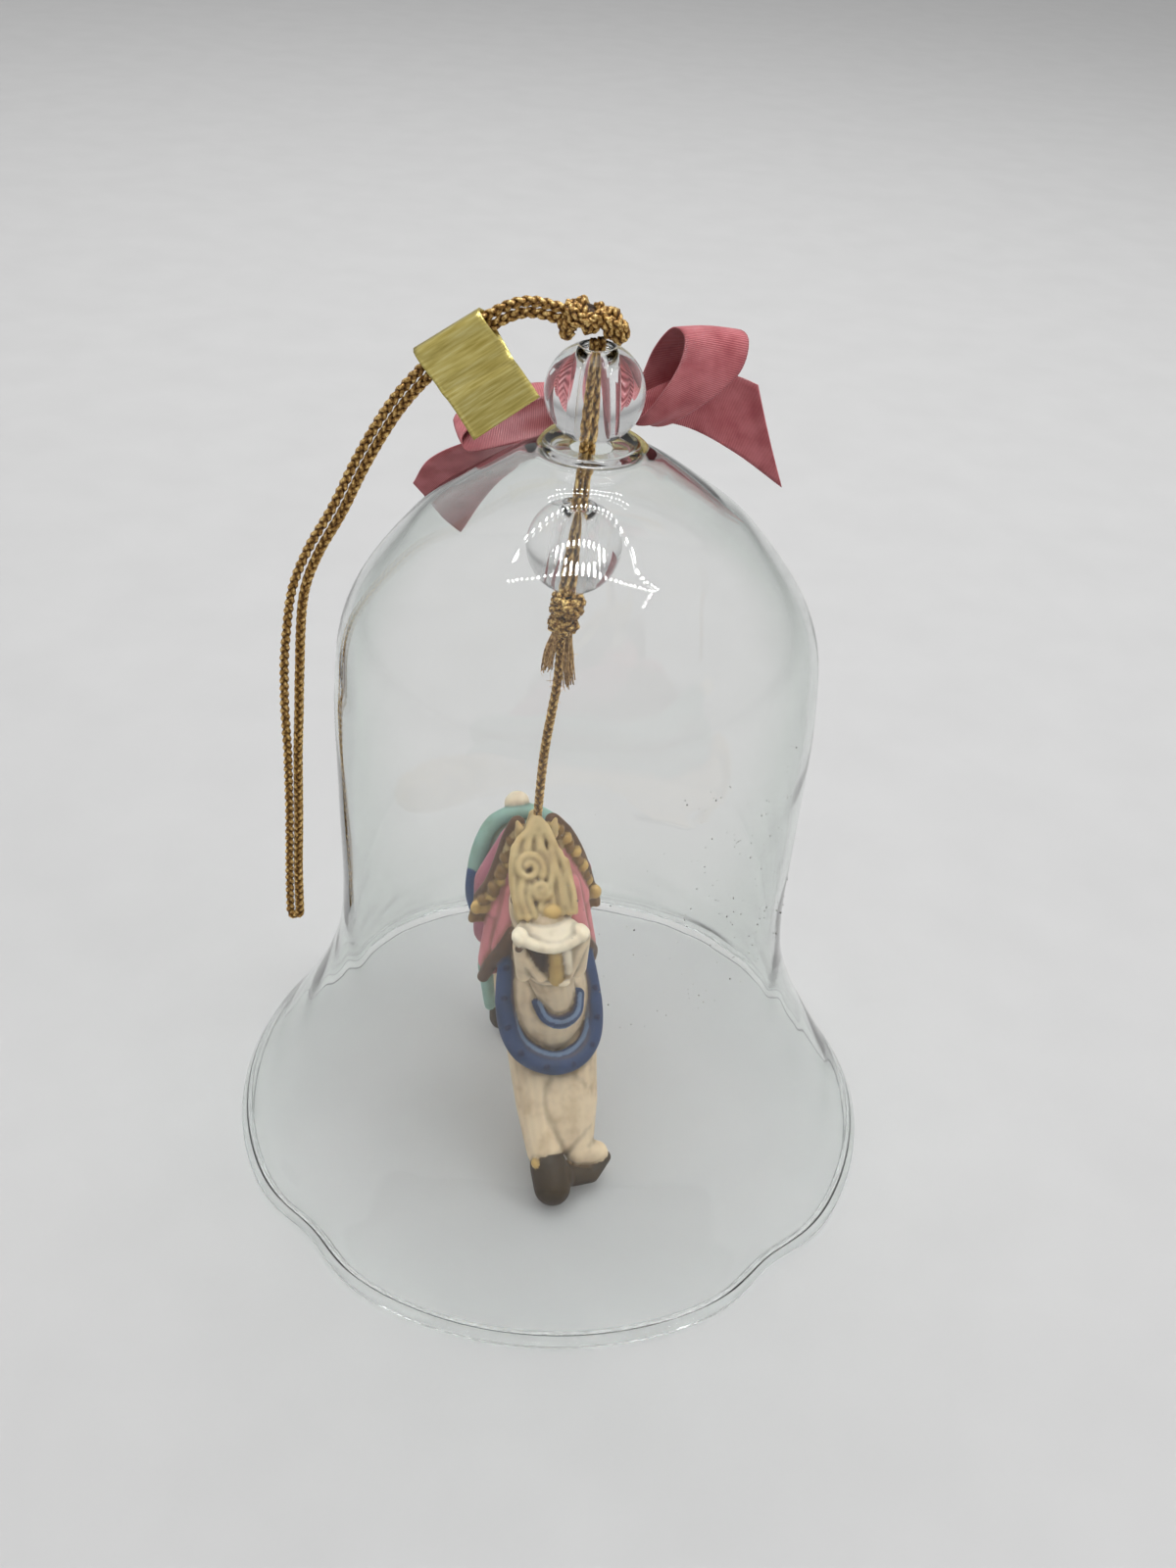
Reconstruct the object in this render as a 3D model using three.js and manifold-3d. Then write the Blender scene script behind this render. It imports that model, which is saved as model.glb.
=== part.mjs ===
// A blown-glass bell ornament with a carousel-horse clapper, standing on its rim.
// Millimetres, +Z up. The origin is the centre of the rim on the surface the bell stands on.
// -Y is the side the horse faces, and the hanging loop droops towards -X.
import * as THREE from "three";
import { mergeVertices } from "three/addons/utils/BufferGeometryUtils.js";
import Module from "manifold-3d";

const wasm = await Module();
wasm.setup();

// ---- Driving dimensions -------------------------------------------------
const RIM_R = 42; // outer radius of the flared rim
const BODY_R = 27.4; // outer radius of the nearly straight body
const LIP_Z = 95.3; // top of the collar that the upper bead rests on
const LIP_R = 5; // outer radius of that collar
const NECK_HOLE_R = 2.1; // hole the cord passes through
const NECK_FLOOR_Z = 93.3; // where that hole opens into the dome
const WALL = 1.1; // blown glass, thickened at rim and neck
const BEAD_R = 5.25;
const BEAD_HOLE_R = 1.8;
const CORD_D = 1.05; // one strand of the braided cord
const GAP = 0.3; // clearance left between pieces that touch
const RIBBON_W = 6.4; // quarter-inch satin ribbon
const RIBBON_T = 0.4;
const LEAN = THREE.MathUtils.degToRad(4.131); // how far the clapper cord hangs off the bell's axis
const HORSE_YAW = THREE.MathUtils.degToRad(16); // the horse looks a little towards +X

const UPPER_BEAD_Z = LIP_Z + 5.2; // centre of the bead on the collar
const PIVOT = new THREE.Vector3(-0.45, 0, NECK_FLOOR_Z + 0.2); // where the cord leaves the neck
const LOWER_BEAD_DROP = 10.5; // the drops are measured down the hanging cord from the pivot
const KNOT_TOP_DROP = LOWER_BEAD_DROP + BEAD_R + 0.1;
const KNOT_BOTTOM_DROP = KNOT_TOP_DROP + 6;
const HORSE_TOP_DROP = 46.5;

const group = new THREE.Group();
group.name = "glass_bell_ornament";

// ---- Helpers --------------------------------------------------------------
const point = (x, z) => new THREE.Vector2(x, z);

function add(name, geometry, color, roughness, metalness = 0, parent = group) {
  const mesh = new THREE.Mesh(geometry, new THREE.MeshStandardMaterial({ color, roughness, metalness }));
  mesh.name = name;
  parent.add(mesh);
  return mesh;
}

// Turns a profile of (radius, height) points round the vertical axis.
function turned(profile, segments) {
  return new THREE.LatheGeometry(profile, segments).rotateX(Math.PI / 2);
}

function toManifold(geometry) {
  const bare = geometry.clone();
  bare.deleteAttribute("normal");
  bare.deleteAttribute("uv");
  const merged = mergeVertices(bare, 1e-4);
  return new wasm.Manifold(
    new wasm.Mesh({
      numProp: 3,
      vertProperties: merged.attributes.position.array,
      triVerts: new Uint32Array(merged.index.array),
    }),
  );
}

// Joins overlapping geometries into one closed solid.
function joined(geometries) {
  const mesh = geometries.map(toManifold).reduce((whole, piece) => whole.add(piece)).getMesh();
  const geometry = new THREE.BufferGeometry();
  geometry.setAttribute("position", new THREE.BufferAttribute(mesh.vertProperties, 3));
  geometry.setIndex(new THREE.BufferAttribute(mesh.triVerts, 1));
  return geometry;
}

// An ellipsoid at a centre, tipped about the crosswise axis by an angle in degrees.
function blob(center, radii, tipDegrees = 0) {
  return new THREE.SphereGeometry(1, 10, 7)
    .scale(...radii)
    .rotateX(THREE.MathUtils.degToRad(tipDegrees))
    .translate(...center);
}

// A tapered round limb from one point to another, with rounded ends.
function limb(from, to, fromR, toR) {
  const start = new THREE.Vector3(...from);
  const end = new THREE.Vector3(...to);
  const along = end.clone().sub(start);
  const shaft = new THREE.CylinderGeometry(toR, fromR, along.length(), 8)
    .translate(0, along.length() / 2, 0)
    .applyQuaternion(
      new THREE.Quaternion().setFromUnitVectors(new THREE.Vector3(0, 1, 0), along.normalize()),
    )
    .translate(...from);
  return [shaft, blob(from, [fromR, fromR, fromR]), blob(to, [toR, toR, toR])];
}

// ---- Glass bell: one blown piece, flared and gently dented at the rim --------
const outerCurve = new THREE.SplineCurve([
  point(RIM_R, 1),
  point(RIM_R - 1.6, 3.6),
  point(RIM_R - 4.6, 8),
  point(RIM_R - 9.6, 17),
  point(BODY_R + 1.3, 27),
  point(BODY_R, 37),
  point(BODY_R + 0.1, 52),
  point(BODY_R + 0.1, 66),
  point(BODY_R - 1.5, 75.5),
  point(BODY_R - 7.8, 84.5),
  point(14.2, 89),
  point(8.6, 92.9),
  point(LIP_R + 0.2, LIP_Z - 1),
]);
const OUTER_POINTS = 21;
const outer = outerCurve.getPoints(OUTER_POINTS);

// The inside follows the outside one wall thickness in, measured across the curve.
function insetBy(curve, count, depth) {
  return curve.getPoints(count).map((p, i) => {
    const tangent = curve.getTangent(i / count);
    return point(p.x - depth * tangent.y, p.y + depth * tangent.x);
  });
}
const inner = insetBy(outerCurve, OUTER_POINTS, WALL)
  .filter((p) => p.y > 1.6 && p.y < NECK_FLOOR_Z - 0.6)
  .reverse();

const bellProfile = [
  point(RIM_R - 1.8, 0),
  point(RIM_R - 0.5, 0),
  ...outer,
  point(LIP_R, LIP_Z - 0.4),
  point(LIP_R - 0.5, LIP_Z),
  point(NECK_HOLE_R, LIP_Z),
  point(NECK_HOLE_R, NECK_FLOOR_Z),
  ...inner,
  point(RIM_R - 2.1, 0.9),
  point(RIM_R - 1.8, 0),
];

// Four shallow dents made by hand in the soft rim, as azimuths in degrees.
const DENT_AZIMUTHS = [23, 147, 225, 316];
const DENT_DEPTH = 1.6;
const DENT_HALF_WIDTH = 9;
const DENT_REACH_Z = 16;

function dentAt(azimuthDegrees, z) {
  const fade = Math.max(0, 1 - z / DENT_REACH_Z) ** 2;
  return DENT_AZIMUTHS.reduce((depth, center) => {
    const turn = THREE.MathUtils.euclideanModulo(azimuthDegrees - center + 180, 360) - 180;
    return depth + fade * DENT_DEPTH * Math.exp(-((turn / DENT_HALF_WIDTH) ** 2));
  }, 0);
}

const bell = turned(bellProfile, 60);
const bellPoints = bell.attributes.position;
for (let i = 0; i < bellPoints.count; i++) {
  const x = bellPoints.getX(i);
  const y = bellPoints.getY(i);
  const radius = Math.hypot(x, y);
  const dent = dentAt(THREE.MathUtils.radToDeg(Math.atan2(y, x)), bellPoints.getZ(i));
  bellPoints.setX(i, x * (1 - dent / radius));
  bellPoints.setY(i, y * (1 - dent / radius));
}
add("glass_bell", bell, 0xdfe8e6, 0.05);

// ---- Beads: two clear balls drilled through ------------------------------------
function bead() {
  const holeAngle = Math.asin(BEAD_HOLE_R / BEAD_R);
  const arc = [];
  const steps = 16;
  for (let i = 0; i <= steps; i++) {
    const angle = holeAngle + ((Math.PI - 2 * holeAngle) * i) / steps;
    arc.push(point(BEAD_R * Math.sin(angle), -BEAD_R * Math.cos(angle)));
  }
  return turned([...arc, arc[0].clone()], 28);
}
add("upper_bead", bead(), 0xe8ecec, 0.08).position.set(0, 0, UPPER_BEAD_Z);

// Everything below the neck hangs from the pivot, leaning a little towards -X.
const hanging = new THREE.Group();
hanging.position.copy(PIVOT);
hanging.rotation.y = LEAN;
group.add(hanging);
add("lower_bead", bead(), 0xe8ecec, 0.08, 0, hanging).position.z = -LOWER_BEAD_DROP;

// ---- Cords ---------------------------------------------------------------------
const GOLD = 0x96703a;

// Two strands side by side, as one solid between two points.
function doubledCord(from, to) {
  const section = new THREE.Shape();
  section.absarc(0, CORD_D / 2, CORD_D / 2, 0, Math.PI);
  section.absarc(0, -CORD_D / 2, CORD_D / 2, Math.PI, 2 * Math.PI);
  section.closePath();
  const path = new THREE.LineCurve3(from, to);
  return new THREE.ExtrudeGeometry(section, { steps: 1, curveSegments: 5, extrudePath: path });
}

const beadHoleTop = Math.sqrt(BEAD_R ** 2 - BEAD_HOLE_R ** 2);
add(
  "through_cord",
  doubledCord(PIVOT.clone(), new THREE.Vector3(0, 0, UPPER_BEAD_Z + beadHoleTop + 0.2)),
  GOLD,
  0.5,
  0.4,
);
add(
  "bead_cord",
  doubledCord(new THREE.Vector3(0, 0, -KNOT_TOP_DROP + GAP), new THREE.Vector3(0, 0, -GAP)),
  GOLD,
  0.5,
  0.4,
  hanging,
);
add(
  "clapper_cord",
  new THREE.CylinderGeometry(CORD_D / 2, CORD_D / 2, HORSE_TOP_DROP - KNOT_BOTTOM_DROP - 2 * GAP, 8)
    .rotateX(Math.PI / 2)
    .translate(0, 0, -(HORSE_TOP_DROP + KNOT_BOTTOM_DROP) / 2),
  GOLD,
  0.5,
  0.4,
  hanging,
);

// ---- Knots and frayed ends --------------------------------------------------------
const TOP_KNOT_Z = UPPER_BEAD_Z + beadHoleTop + 2.75;
add(
  "top_knot",
  joined([
    blob([-1.5, 0, TOP_KNOT_Z], [2.8, 2, 2.2]),
    blob([1, 0.2, TOP_KNOT_Z - 0.3], [2, 1.8, 1.7]),
  ]),
  GOLD,
  0.5,
  0.4,
);
add(
  "lower_knot",
  joined([
    blob([0, 0, -KNOT_TOP_DROP - 2], [2.5, 2.2, 2]),
    blob([0.1, 0, -KNOT_TOP_DROP - 4.2], [2, 1.9, 1.8]),
  ]),
  GOLD,
  0.5,
  0.4,
  hanging,
);

// A cut end of the cord spreads into a narrow fan of loose fibres.
function frayedEnd(name, sideways, tiltDegrees, length) {
  const fan = new THREE.CylinderGeometry(0.45, 0.9, length, 8)
    .scale(1, 1, 0.5)
    .rotateX(Math.PI / 2)
    .translate(0, 0, -length / 2)
    .rotateY(THREE.MathUtils.degToRad(tiltDegrees));
  add(name, fan, 0xb08a48, 0.7, 0.1, hanging).position.set(sideways, 0, -KNOT_BOTTOM_DROP + 0.1);
}
frayedEnd("frayed_end_left", -1.5, 6, 5.4);
frayedEnd("frayed_end_right", 1.5, -4, 6.6);

// ---- Hanging loop: the doubled cord droops over the shoulder to a fold ------------
const LOOP_TUBE_D = CORD_D * 1.9;
const loopRoute = new THREE.CatmullRomCurve3(
  [
    [-5, 0, 108.5],
    [-7, 0, 108.7],
    [-10, 0, 107.6],
    [-14, 0, 104.6],
    [-17.8, 0, 100.8],
    [-20.9, 0, 96.9],
    [-24.1, 0, 91.3],
    [-26.9, 0, 85.4],
    [-29.7, 0, 80.2],
    [-31.6, 0, 75.5],
    [-32.6, 0, 69],
    [-33.1, 0, 62],
    [-33.4, 0, 53],
    [-33.6, 0, 44],
    [-34, 0, 36],
    [-34.2, 0, 28],
  ].map((p) => new THREE.Vector3(...p)),
);
const loopSection = new THREE.Shape().absarc(0, 0, LOOP_TUBE_D / 2, 0, 2 * Math.PI);
add(
  "hanging_loop",
  new THREE.ExtrudeGeometry(loopSection, { steps: 34, curveSegments: 4, extrudePath: loopRoute }),
  GOLD,
  0.5,
  0.4,
);

// ---- Foil sticker: folded over the cord and stuck to itself, like a little flag -----
const STICKER_ALONG = 7.9;
const STICKER_DROP = 9.2;
const sticker = new THREE.BoxGeometry(STICKER_ALONG, GAP, STICKER_DROP);
sticker.translate(STICKER_ALONG / 2, 0, -STICKER_DROP / 2);
const flag = add("foil_sticker", sticker, 0xd9c860, 0.3, 0.9);
flag.position.set(-17.9, -LOOP_TUBE_D / 2 - 0.5, 102.8);
flag.rotation.set(THREE.MathUtils.degToRad(-10), THREE.MathUtils.degToRad(-34), 0, "YXZ");

// ---- Bow: a satin ribbon glued to the back of the neck -------------------------------
const PINK = 0xb9646e;
const BOW_Y = LIP_R + 4.2; // the bow sits this far behind the axis
const BOW_Z = 94.6;

add("bow_knot", blob([0, BOW_Y, BOW_Z + 1], [2.4, 1.6, 2.6]), PINK, 0.55);
add("glue_dab", blob([0, LIP_R + 1.5, BOW_Z + 1], [2.6, 0.9, 0.9]), 0xb08a40, 0.3);

// A ribbon loop: a flattened ring that starts at the origin, as wide as the ribbon.
function ribbonLoop(reach, halfHeight) {
  const ellipse = (inset) =>
    new THREE.Path().absellipse(reach / 2, 0, reach / 2 - inset, halfHeight - inset, 0, 2 * Math.PI);
  const ring = new THREE.Shape(ellipse(0).getPoints(10));
  ring.holes.push(ellipse(RIBBON_T));
  return new THREE.ExtrudeGeometry(ring, { depth: RIBBON_W, bevelEnabled: false, curveSegments: 10 })
    .translate(0, 0, -RIBBON_W / 2);
}

// A ribbon tail: a strip that leaves the origin flat and curls down.
function ribbonTail(length, sag) {
  const strip = new THREE.Shape();
  strip.moveTo(0, 0);
  strip.quadraticCurveTo(length * 0.5, 0, length, -sag);
  strip.lineTo(length, -sag - RIBBON_T);
  strip.quadraticCurveTo(length * 0.5, -RIBBON_T, 0, -RIBBON_T);
  return new THREE.ExtrudeGeometry(strip, { depth: RIBBON_W, bevelEnabled: false, curveSegments: 6 })
    .translate(0, 0, -RIBBON_W / 2);
}

// Places a ribbon piece: where it starts, its heading about Z, and its roll and pitch, in degrees.
function placeRibbon(name, geometry, start, headingDegrees, pitchDegrees, rollDegrees) {
  const mesh = add(name, geometry.rotateX(Math.PI / 2), PINK, 0.55);
  mesh.rotation.order = "ZYX";
  mesh.rotation.set(
    THREE.MathUtils.degToRad(rollDegrees),
    THREE.MathUtils.degToRad(-pitchDegrees),
    THREE.MathUtils.degToRad(headingDegrees),
  );
  mesh.position.set(...start);
}
placeRibbon("bow_loop_right", ribbonLoop(13, 4.4), [3.4, BOW_Y - 0.4, BOW_Z + 1.4], -8, 42, 0);
placeRibbon("bow_loop_left", ribbonLoop(12.5, 2.6), [-3.4, BOW_Y + 0.2, BOW_Z + 0.8], 174, -12, 0);
placeRibbon("bow_tail_right", ribbonTail(17, 7), [3.2, BOW_Y + 5.6, BOW_Z + 0.2], 8, 4, 0);
placeRibbon("bow_tail_left", ribbonTail(17, 5), [-2.6, BOW_Y + 7.2, BOW_Z - 0.4], 160, -16, 0);

// ---- Horse: one cast resin figure, built facing -Y with its attachment at the origin ----
// Crosswise, lengthwise (negative is forward) and height above the surface.
const horsePieces = [
  blob([0, 7, 26], [6.2, 9.6, 8.4]), // barrel
  blob([0, -2.5, 23.5], [5.9, 7.2, 9.4], -14), // chest
  blob([0, 11.2, 26.5], [5.8, 5.6, 8]), // rump
  blob([0, 8.6, 31.5], [7.4, 5.6, 6.2]), // saddle and blanket over the back
  blob([0, 11.8, 36.6], [2.6, 1.6, 2.6], -12), // cantle
  ...limb([0, -2, 27], [0, -1.6, 39.5], 5, 3.4), // neck
  blob([0, -3.6, 41.6], [3.4, 4.6, 4.4], 30), // skull
  blob([0, -1, 44.6], [2, 2, 2.4]), // topknot of the mane
  ...limb([0, -4, 40], [0, -10.6, 36], 3.4, 3), // face
  blob([0, -10.8, 36], [4, 2.2, 2.6]), // nostrils
  ...limb([0, -10, 33.8], [0, -5.5, 31], 2, 2.6), // jaw
  ...limb([-2.6, -7, 17], [-2.4, -12.5, 10], 3, 2.4), // near foreleg
  ...limb([-2.4, -12.5, 10], [-1.2, -16.6, 5.2], 2.4, 1.8),
  blob([-0.9, -17.8, 3.5], [2.6, 3.4, 2.2], 12),
  ...limb([2.6, -6, 17], [3.2, -12, 11], 3, 2.4), // off foreleg, its hoof turned out
  ...limb([3.2, -12, 11], [4, -13.6, 6.6], 2.2, 1.7),
  blob([4.6, -14.4, 4.9], [2.4, 2.8, 1.9], 8),
  ...limb([-3, 11.5, 20], [-3.2, 9.5, 11], 3.4, 2),
  ...limb([-3.2, 9.5, 11], [-3.2, 13, 5], 1.9, 1.5),
  blob([-3.2, 12.6, 3.2], [2, 2.5, 1.9]),
  ...limb([3, 12, 20], [3.2, 13, 11], 3.4, 2),
  ...limb([3.2, 13, 11], [3.2, 15.2, 5.4], 1.9, 1.5),
  blob([3.2, 14.8, 3.4], [2, 2.4, 1.9]),
  ...limb([0, 15.5, 29], [0, 16, 16], 1.9, 1.5), // tail
].flat();
const horse = add("horse_figurine", joined(horsePieces), 0xe6d5b4, 0.6);
const attachment = new THREE.Vector3(0, 0, -HORSE_TOP_DROP).applyAxisAngle(
  new THREE.Vector3(0, 1, 0),
  LEAN,
).add(PIVOT);
horse.rotation.z = HORSE_YAW;
horse.position.set(attachment.x, attachment.y, 0);

export default group;
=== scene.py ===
import math
import random

import bpy
import numpy as np
from mathutils import Matrix, Vector


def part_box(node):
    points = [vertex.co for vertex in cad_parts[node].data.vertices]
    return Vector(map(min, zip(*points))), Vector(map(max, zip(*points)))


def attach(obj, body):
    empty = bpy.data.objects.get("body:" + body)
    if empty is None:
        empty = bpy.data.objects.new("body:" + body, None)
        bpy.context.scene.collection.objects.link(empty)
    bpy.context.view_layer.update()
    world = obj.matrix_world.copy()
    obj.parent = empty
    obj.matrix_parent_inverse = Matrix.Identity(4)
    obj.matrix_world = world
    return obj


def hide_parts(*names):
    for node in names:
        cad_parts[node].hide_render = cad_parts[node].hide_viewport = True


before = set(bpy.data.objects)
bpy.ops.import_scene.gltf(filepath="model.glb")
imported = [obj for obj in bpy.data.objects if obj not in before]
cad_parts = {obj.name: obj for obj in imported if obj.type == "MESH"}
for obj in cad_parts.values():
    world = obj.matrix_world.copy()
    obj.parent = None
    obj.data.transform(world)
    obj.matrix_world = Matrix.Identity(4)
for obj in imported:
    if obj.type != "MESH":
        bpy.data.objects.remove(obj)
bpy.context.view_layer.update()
random.seed(11)

MM = 0.001
bell_low, bell_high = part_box("glass_bell")
RIM_R = (bell_high.x - bell_low.x) / 2
LIP_Z = bell_high.z
upper_low, upper_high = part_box("upper_bead")
UPPER_BEAD = (upper_low + upper_high) / 2
BEAD_R = (upper_high.x - upper_low.x) / 2
LOWER_BEAD = sum(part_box("lower_bead"), Vector()) / 2
CORD_D = 1.05 * MM
BRAID_D = 1.15 * MM  # the plait swells a little past the cord's nominal width
HORSE_TOP = Vector((-3.8, 0, 47.1)) * MM
PIVOT = Vector((-0.45, 0, 93.5)) * MM


def mm(points):
    """Points written in millimetres, as an array in metres."""
    return np.array(points, float) * MM


# ---- Camera: in front of the bell and well above it, looking down ----
CAMERA_BACK = 3.667 * RIM_R
CAMERA_UP = 3.767 * RIM_R
CAMERA_SIDE = 0.051 * RIM_R
CAMERA_PITCH = math.radians(34.63)
CAMERA_ROLL = math.radians(4.07)
LENS_MM = 35.8


def make_camera():
    data = bpy.data.cameras.new("camera")
    data.lens = LENS_MM
    data.clip_start = 0.005
    camera = bpy.data.objects.new("camera", data)
    bpy.context.collection.objects.link(camera)
    tilt = Matrix.Rotation(math.pi / 2 - CAMERA_PITCH, 4, "X")
    roll = Matrix.Rotation(CAMERA_ROLL, 4, "Z")
    place = Matrix.Translation((CAMERA_SIDE, -CAMERA_BACK, CAMERA_UP))
    camera.matrix_world = place @ tilt @ roll
    bpy.context.scene.camera = camera


make_camera()


# ---- Mesh helpers ----
def make_mesh(name, vertices, faces, material, uvs=None, crown=None):
    """A smooth mesh object. crown is a painted light level for each vertex that its material reads."""
    data = bpy.data.meshes.new(name)
    data.from_pydata([tuple(v) for v in vertices], [], [tuple(f) for f in faces])
    if uvs is not None:
        layer = data.uv_layers.new(name="UVMap")
        for loop in data.loops:
            layer.data[loop.index].uv = uvs[loop.vertex_index]
    if crown is not None:
        layer = data.color_attributes.new("crown", "FLOAT_COLOR", "POINT")
        layer.data.foreach_set("color", np.repeat(np.asarray(crown, dtype=float), 4))
    data.polygons.foreach_set("use_smooth", [True] * len(data.polygons))
    data.materials.append(material)
    piece = bpy.data.objects.new(name, data)
    bpy.context.collection.objects.link(piece)
    return piece


def curve_through(points, count):
    """A smooth line through the points, resampled to evenly spaced ones."""
    p = np.asarray(points, float)
    ends = np.vstack([2 * p[0] - p[1], p, 2 * p[-1] - p[-2]])
    dense = []
    for a, b, c, d in zip(ends, ends[1:], ends[2:], ends[3:]):
        t = np.linspace(0, 1, 24, endpoint=False)[:, None]
        dense.append(0.5 * (2 * b + (c - a) * t + (2 * a - 5 * b + 4 * c - d) * t**2
                            + (3 * b - a - 3 * c + d) * t**3))
    dense = np.vstack(dense + [p[-1:]])
    return evenly(dense, count)


def evenly(line, count):
    steps = np.linalg.norm(np.diff(line, axis=0), axis=1)
    along = np.concatenate([[0], np.cumsum(steps)])
    at = np.linspace(0, along[-1], count)
    return np.stack([np.interp(at, along, line[:, k]) for k in range(3)], 1)


def line_length(line):
    return float(np.linalg.norm(np.diff(line, axis=0), axis=1).sum())


def frames_along(line, start_normal=(0, 1, 0)):
    """Two directions across the line at each point, carried along without twist."""
    tangents = np.gradient(line, axis=0)
    tangents /= np.linalg.norm(tangents, axis=1)[:, None]
    normal = np.array(start_normal, float)
    normals = []
    for t in tangents:
        normal = normal - t * (normal @ t)
        normal /= np.linalg.norm(normal)
        normals.append(normal)
    normals = np.array(normals)
    return normals, np.cross(tangents, normals)


def grid_faces(rows, columns, close_rows=False, close_columns=False, flip=False):
    """Four-sided faces between rows of vertices; a closed way joins its last to its first."""
    faces = []
    for i in range(rows if close_rows else rows - 1):
        here, ahead = i * columns, (i + 1) % rows * columns
        for j in range(columns if close_columns else columns - 1):
            beside_j = (j + 1) % columns
            face = (here + j, here + beside_j, ahead + beside_j, ahead + j)
            faces.append((face[0], *face[:0:-1]) if flip else face)
    return faces


def tube_grid(line, radius, sides):
    """Vertices and faces of a capped tube; radius is one number or one for each point."""
    normals, sideways = frames_along(line)
    radius = np.broadcast_to(radius, len(line))
    turn = np.linspace(0, 2 * math.pi, sides, endpoint=False)
    ring = (np.cos(turn)[None, :, None] * normals[:, None]
            + np.sin(turn)[None, :, None] * sideways[:, None])
    vertices = (line[:, None] + radius[:, None, None] * ring).reshape(-1, 3)
    faces = grid_faces(len(line), sides, close_columns=True)
    last = (len(line) - 1) * sides
    faces.append(tuple(range(sides))[::-1])
    faces.append(tuple(range(last, last + sides)))
    return vertices, faces


def merge(grids):
    """Several (vertices, faces) grids as one."""
    vertices, faces, offset = [], [], 0
    for v, f in grids:
        vertices.append(np.asarray(v))
        faces += [tuple(i + offset for i in face) for face in f]
        offset += len(v)
    return np.vstack(vertices), faces


BRAID_LAY = 2.7  # how long one full turn of the plait is, in diameters
BRAID_STEPS = 12  # points along each full turn
STRAND_R = 0.25  # in diameters, like the next one
STRAND_WEAVE = 0.23  # how far a strand moves in and out


def braid_grid(line, diameter, phase=0.0):
    """Three thick strands plaited along a line, and how far out of the plait each vertex stands."""
    length = line_length(line)
    lay = BRAID_LAY * diameter
    dense = evenly(line, max(24, int(length / lay * BRAID_STEPS)))
    normals, sideways = frames_along(dense)
    along = np.linspace(0, length, len(dense)) / lay * 2 * math.pi
    strand, sides = STRAND_R * diameter, 6
    strands, plait_light = [], []
    for k in range(3):
        turn = along + phase + k * 2 * math.pi / 3
        offset = (np.sin(turn)[:, None] * sideways * (0.5 * diameter - strand)
                  + np.sin(2 * turn)[:, None] * normals * STRAND_WEAVE * diameter)
        vertices, faces = tube_grid(dense + offset, strand, sides)
        strands.append((vertices, faces))
        # How far each vertex stands out of the plait, kept as a painted light level: painted shade between
        # the strands, painted highlight on their crowns.
        out = np.linalg.norm(vertices - np.repeat(dense, sides, axis=0), axis=1) / (0.5 * diameter)
        plait_light.append(np.clip((out - 0.45) / 0.55, 0, 1))
    return *merge(strands), np.concatenate(plait_light)


def merge_braids(braids):
    """Several braids as one, with their crowns."""
    vertices, faces = merge([braid[:2] for braid in braids])
    return vertices, faces, np.concatenate([braid[2] for braid in braids])


# ---- Node helpers ----
def new_material(name):
    material = bpy.data.materials.new(name)
    material.use_nodes = True
    nodes = material.node_tree.nodes
    return material, nodes, material.node_tree.links, nodes["Principled BSDF"]


def add_node(nodes, kind, **values):
    node = nodes.new(kind)
    for key, value in values.items():
        if key in node.inputs:
            node.inputs[key].default_value = value
        else:
            setattr(node, key, value)
    return node


def set_sockets(node, values):
    """Constant values on the node's own sockets."""
    for socket, value in values.items():
        node.inputs[socket].default_value = value


def ramp(nodes, links, source, stops):
    """Colors between stops of (position, color), picked by the source."""
    node = nodes.new("ShaderNodeValToRGB")
    elements = node.color_ramp.elements
    while len(elements) < len(stops):
        elements.new(0.5)
    for element, (position, color) in zip(elements, stops):
        element.position = position
        element.color = (*color, 1)
    links.new(source, node.inputs["Fac"])
    return node.outputs["Color"]


def noise(nodes, links, scale, detail):
    place = nodes.new("ShaderNodeTexCoord")
    made = add_node(nodes, "ShaderNodeTexNoise", Scale=scale, Detail=detail)
    links.new(place.outputs["Object"], made.inputs["Vector"])
    return made.outputs["Fac"]


def stretched(nodes, links, texture, scale):
    """Lays a texture on the mesh's own UV map, stretched along it."""
    place = nodes.new("ShaderNodeTexCoord")
    stretch = nodes.new("ShaderNodeMapping")
    stretch.inputs["Scale"].default_value = scale
    links.new(place.outputs["UV"], stretch.inputs["Vector"])
    links.new(stretch.outputs["Vector"], texture.inputs["Vector"])
    return texture.outputs["Fac"]


def scale_and_add(nodes, links, source, factor, extra):
    """The source times a factor, plus a number or another node's output."""
    node = add_node(nodes, "ShaderNodeMath", operation="MULTIPLY_ADD")
    node.inputs[1].default_value = factor
    links.new(source, node.inputs[0])
    if isinstance(extra, float):
        node.inputs[2].default_value = extra
    else:
        links.new(extra, node.inputs[2])
    return node.outputs[0]


def multiplied(nodes, links, color, other, share):
    """A color multiplied by another one, as far as the share says."""
    node = add_node(nodes, "ShaderNodeMix", data_type="RGBA", blend_type="MULTIPLY")
    node.inputs["Factor"].default_value = share
    links.new(color, node.inputs[6])
    links.new(other, node.inputs[7])
    return node.outputs[2]


def bump(nodes, links, height, shader, strength, distance):
    made = add_node(nodes, "ShaderNodeBump", Strength=strength, Distance=distance)
    links.new(height, made.inputs["Height"])
    links.new(made.outputs["Normal"], shader.inputs["Normal"])


def cloudy_material(name, scale, stops, sockets, bumps=None):
    """A material whose color drifts between the stops. bumps is how strong and how deep."""
    material, nodes, links, shader = new_material(name)
    cloud = noise(nodes, links, scale, 2)
    links.new(ramp(nodes, links, cloud, stops), shader.inputs["Base Color"])
    set_sockets(shader, sockets)
    if bumps is not None:
        bump(nodes, links, cloud, shader, *bumps)
    return material


def dress(piece, body, slot, *nodes):
    """Says which body carries the piece and hides the CAD nodes it stands for. slot is not used."""
    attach(piece, body)
    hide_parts(*nodes)


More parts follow.
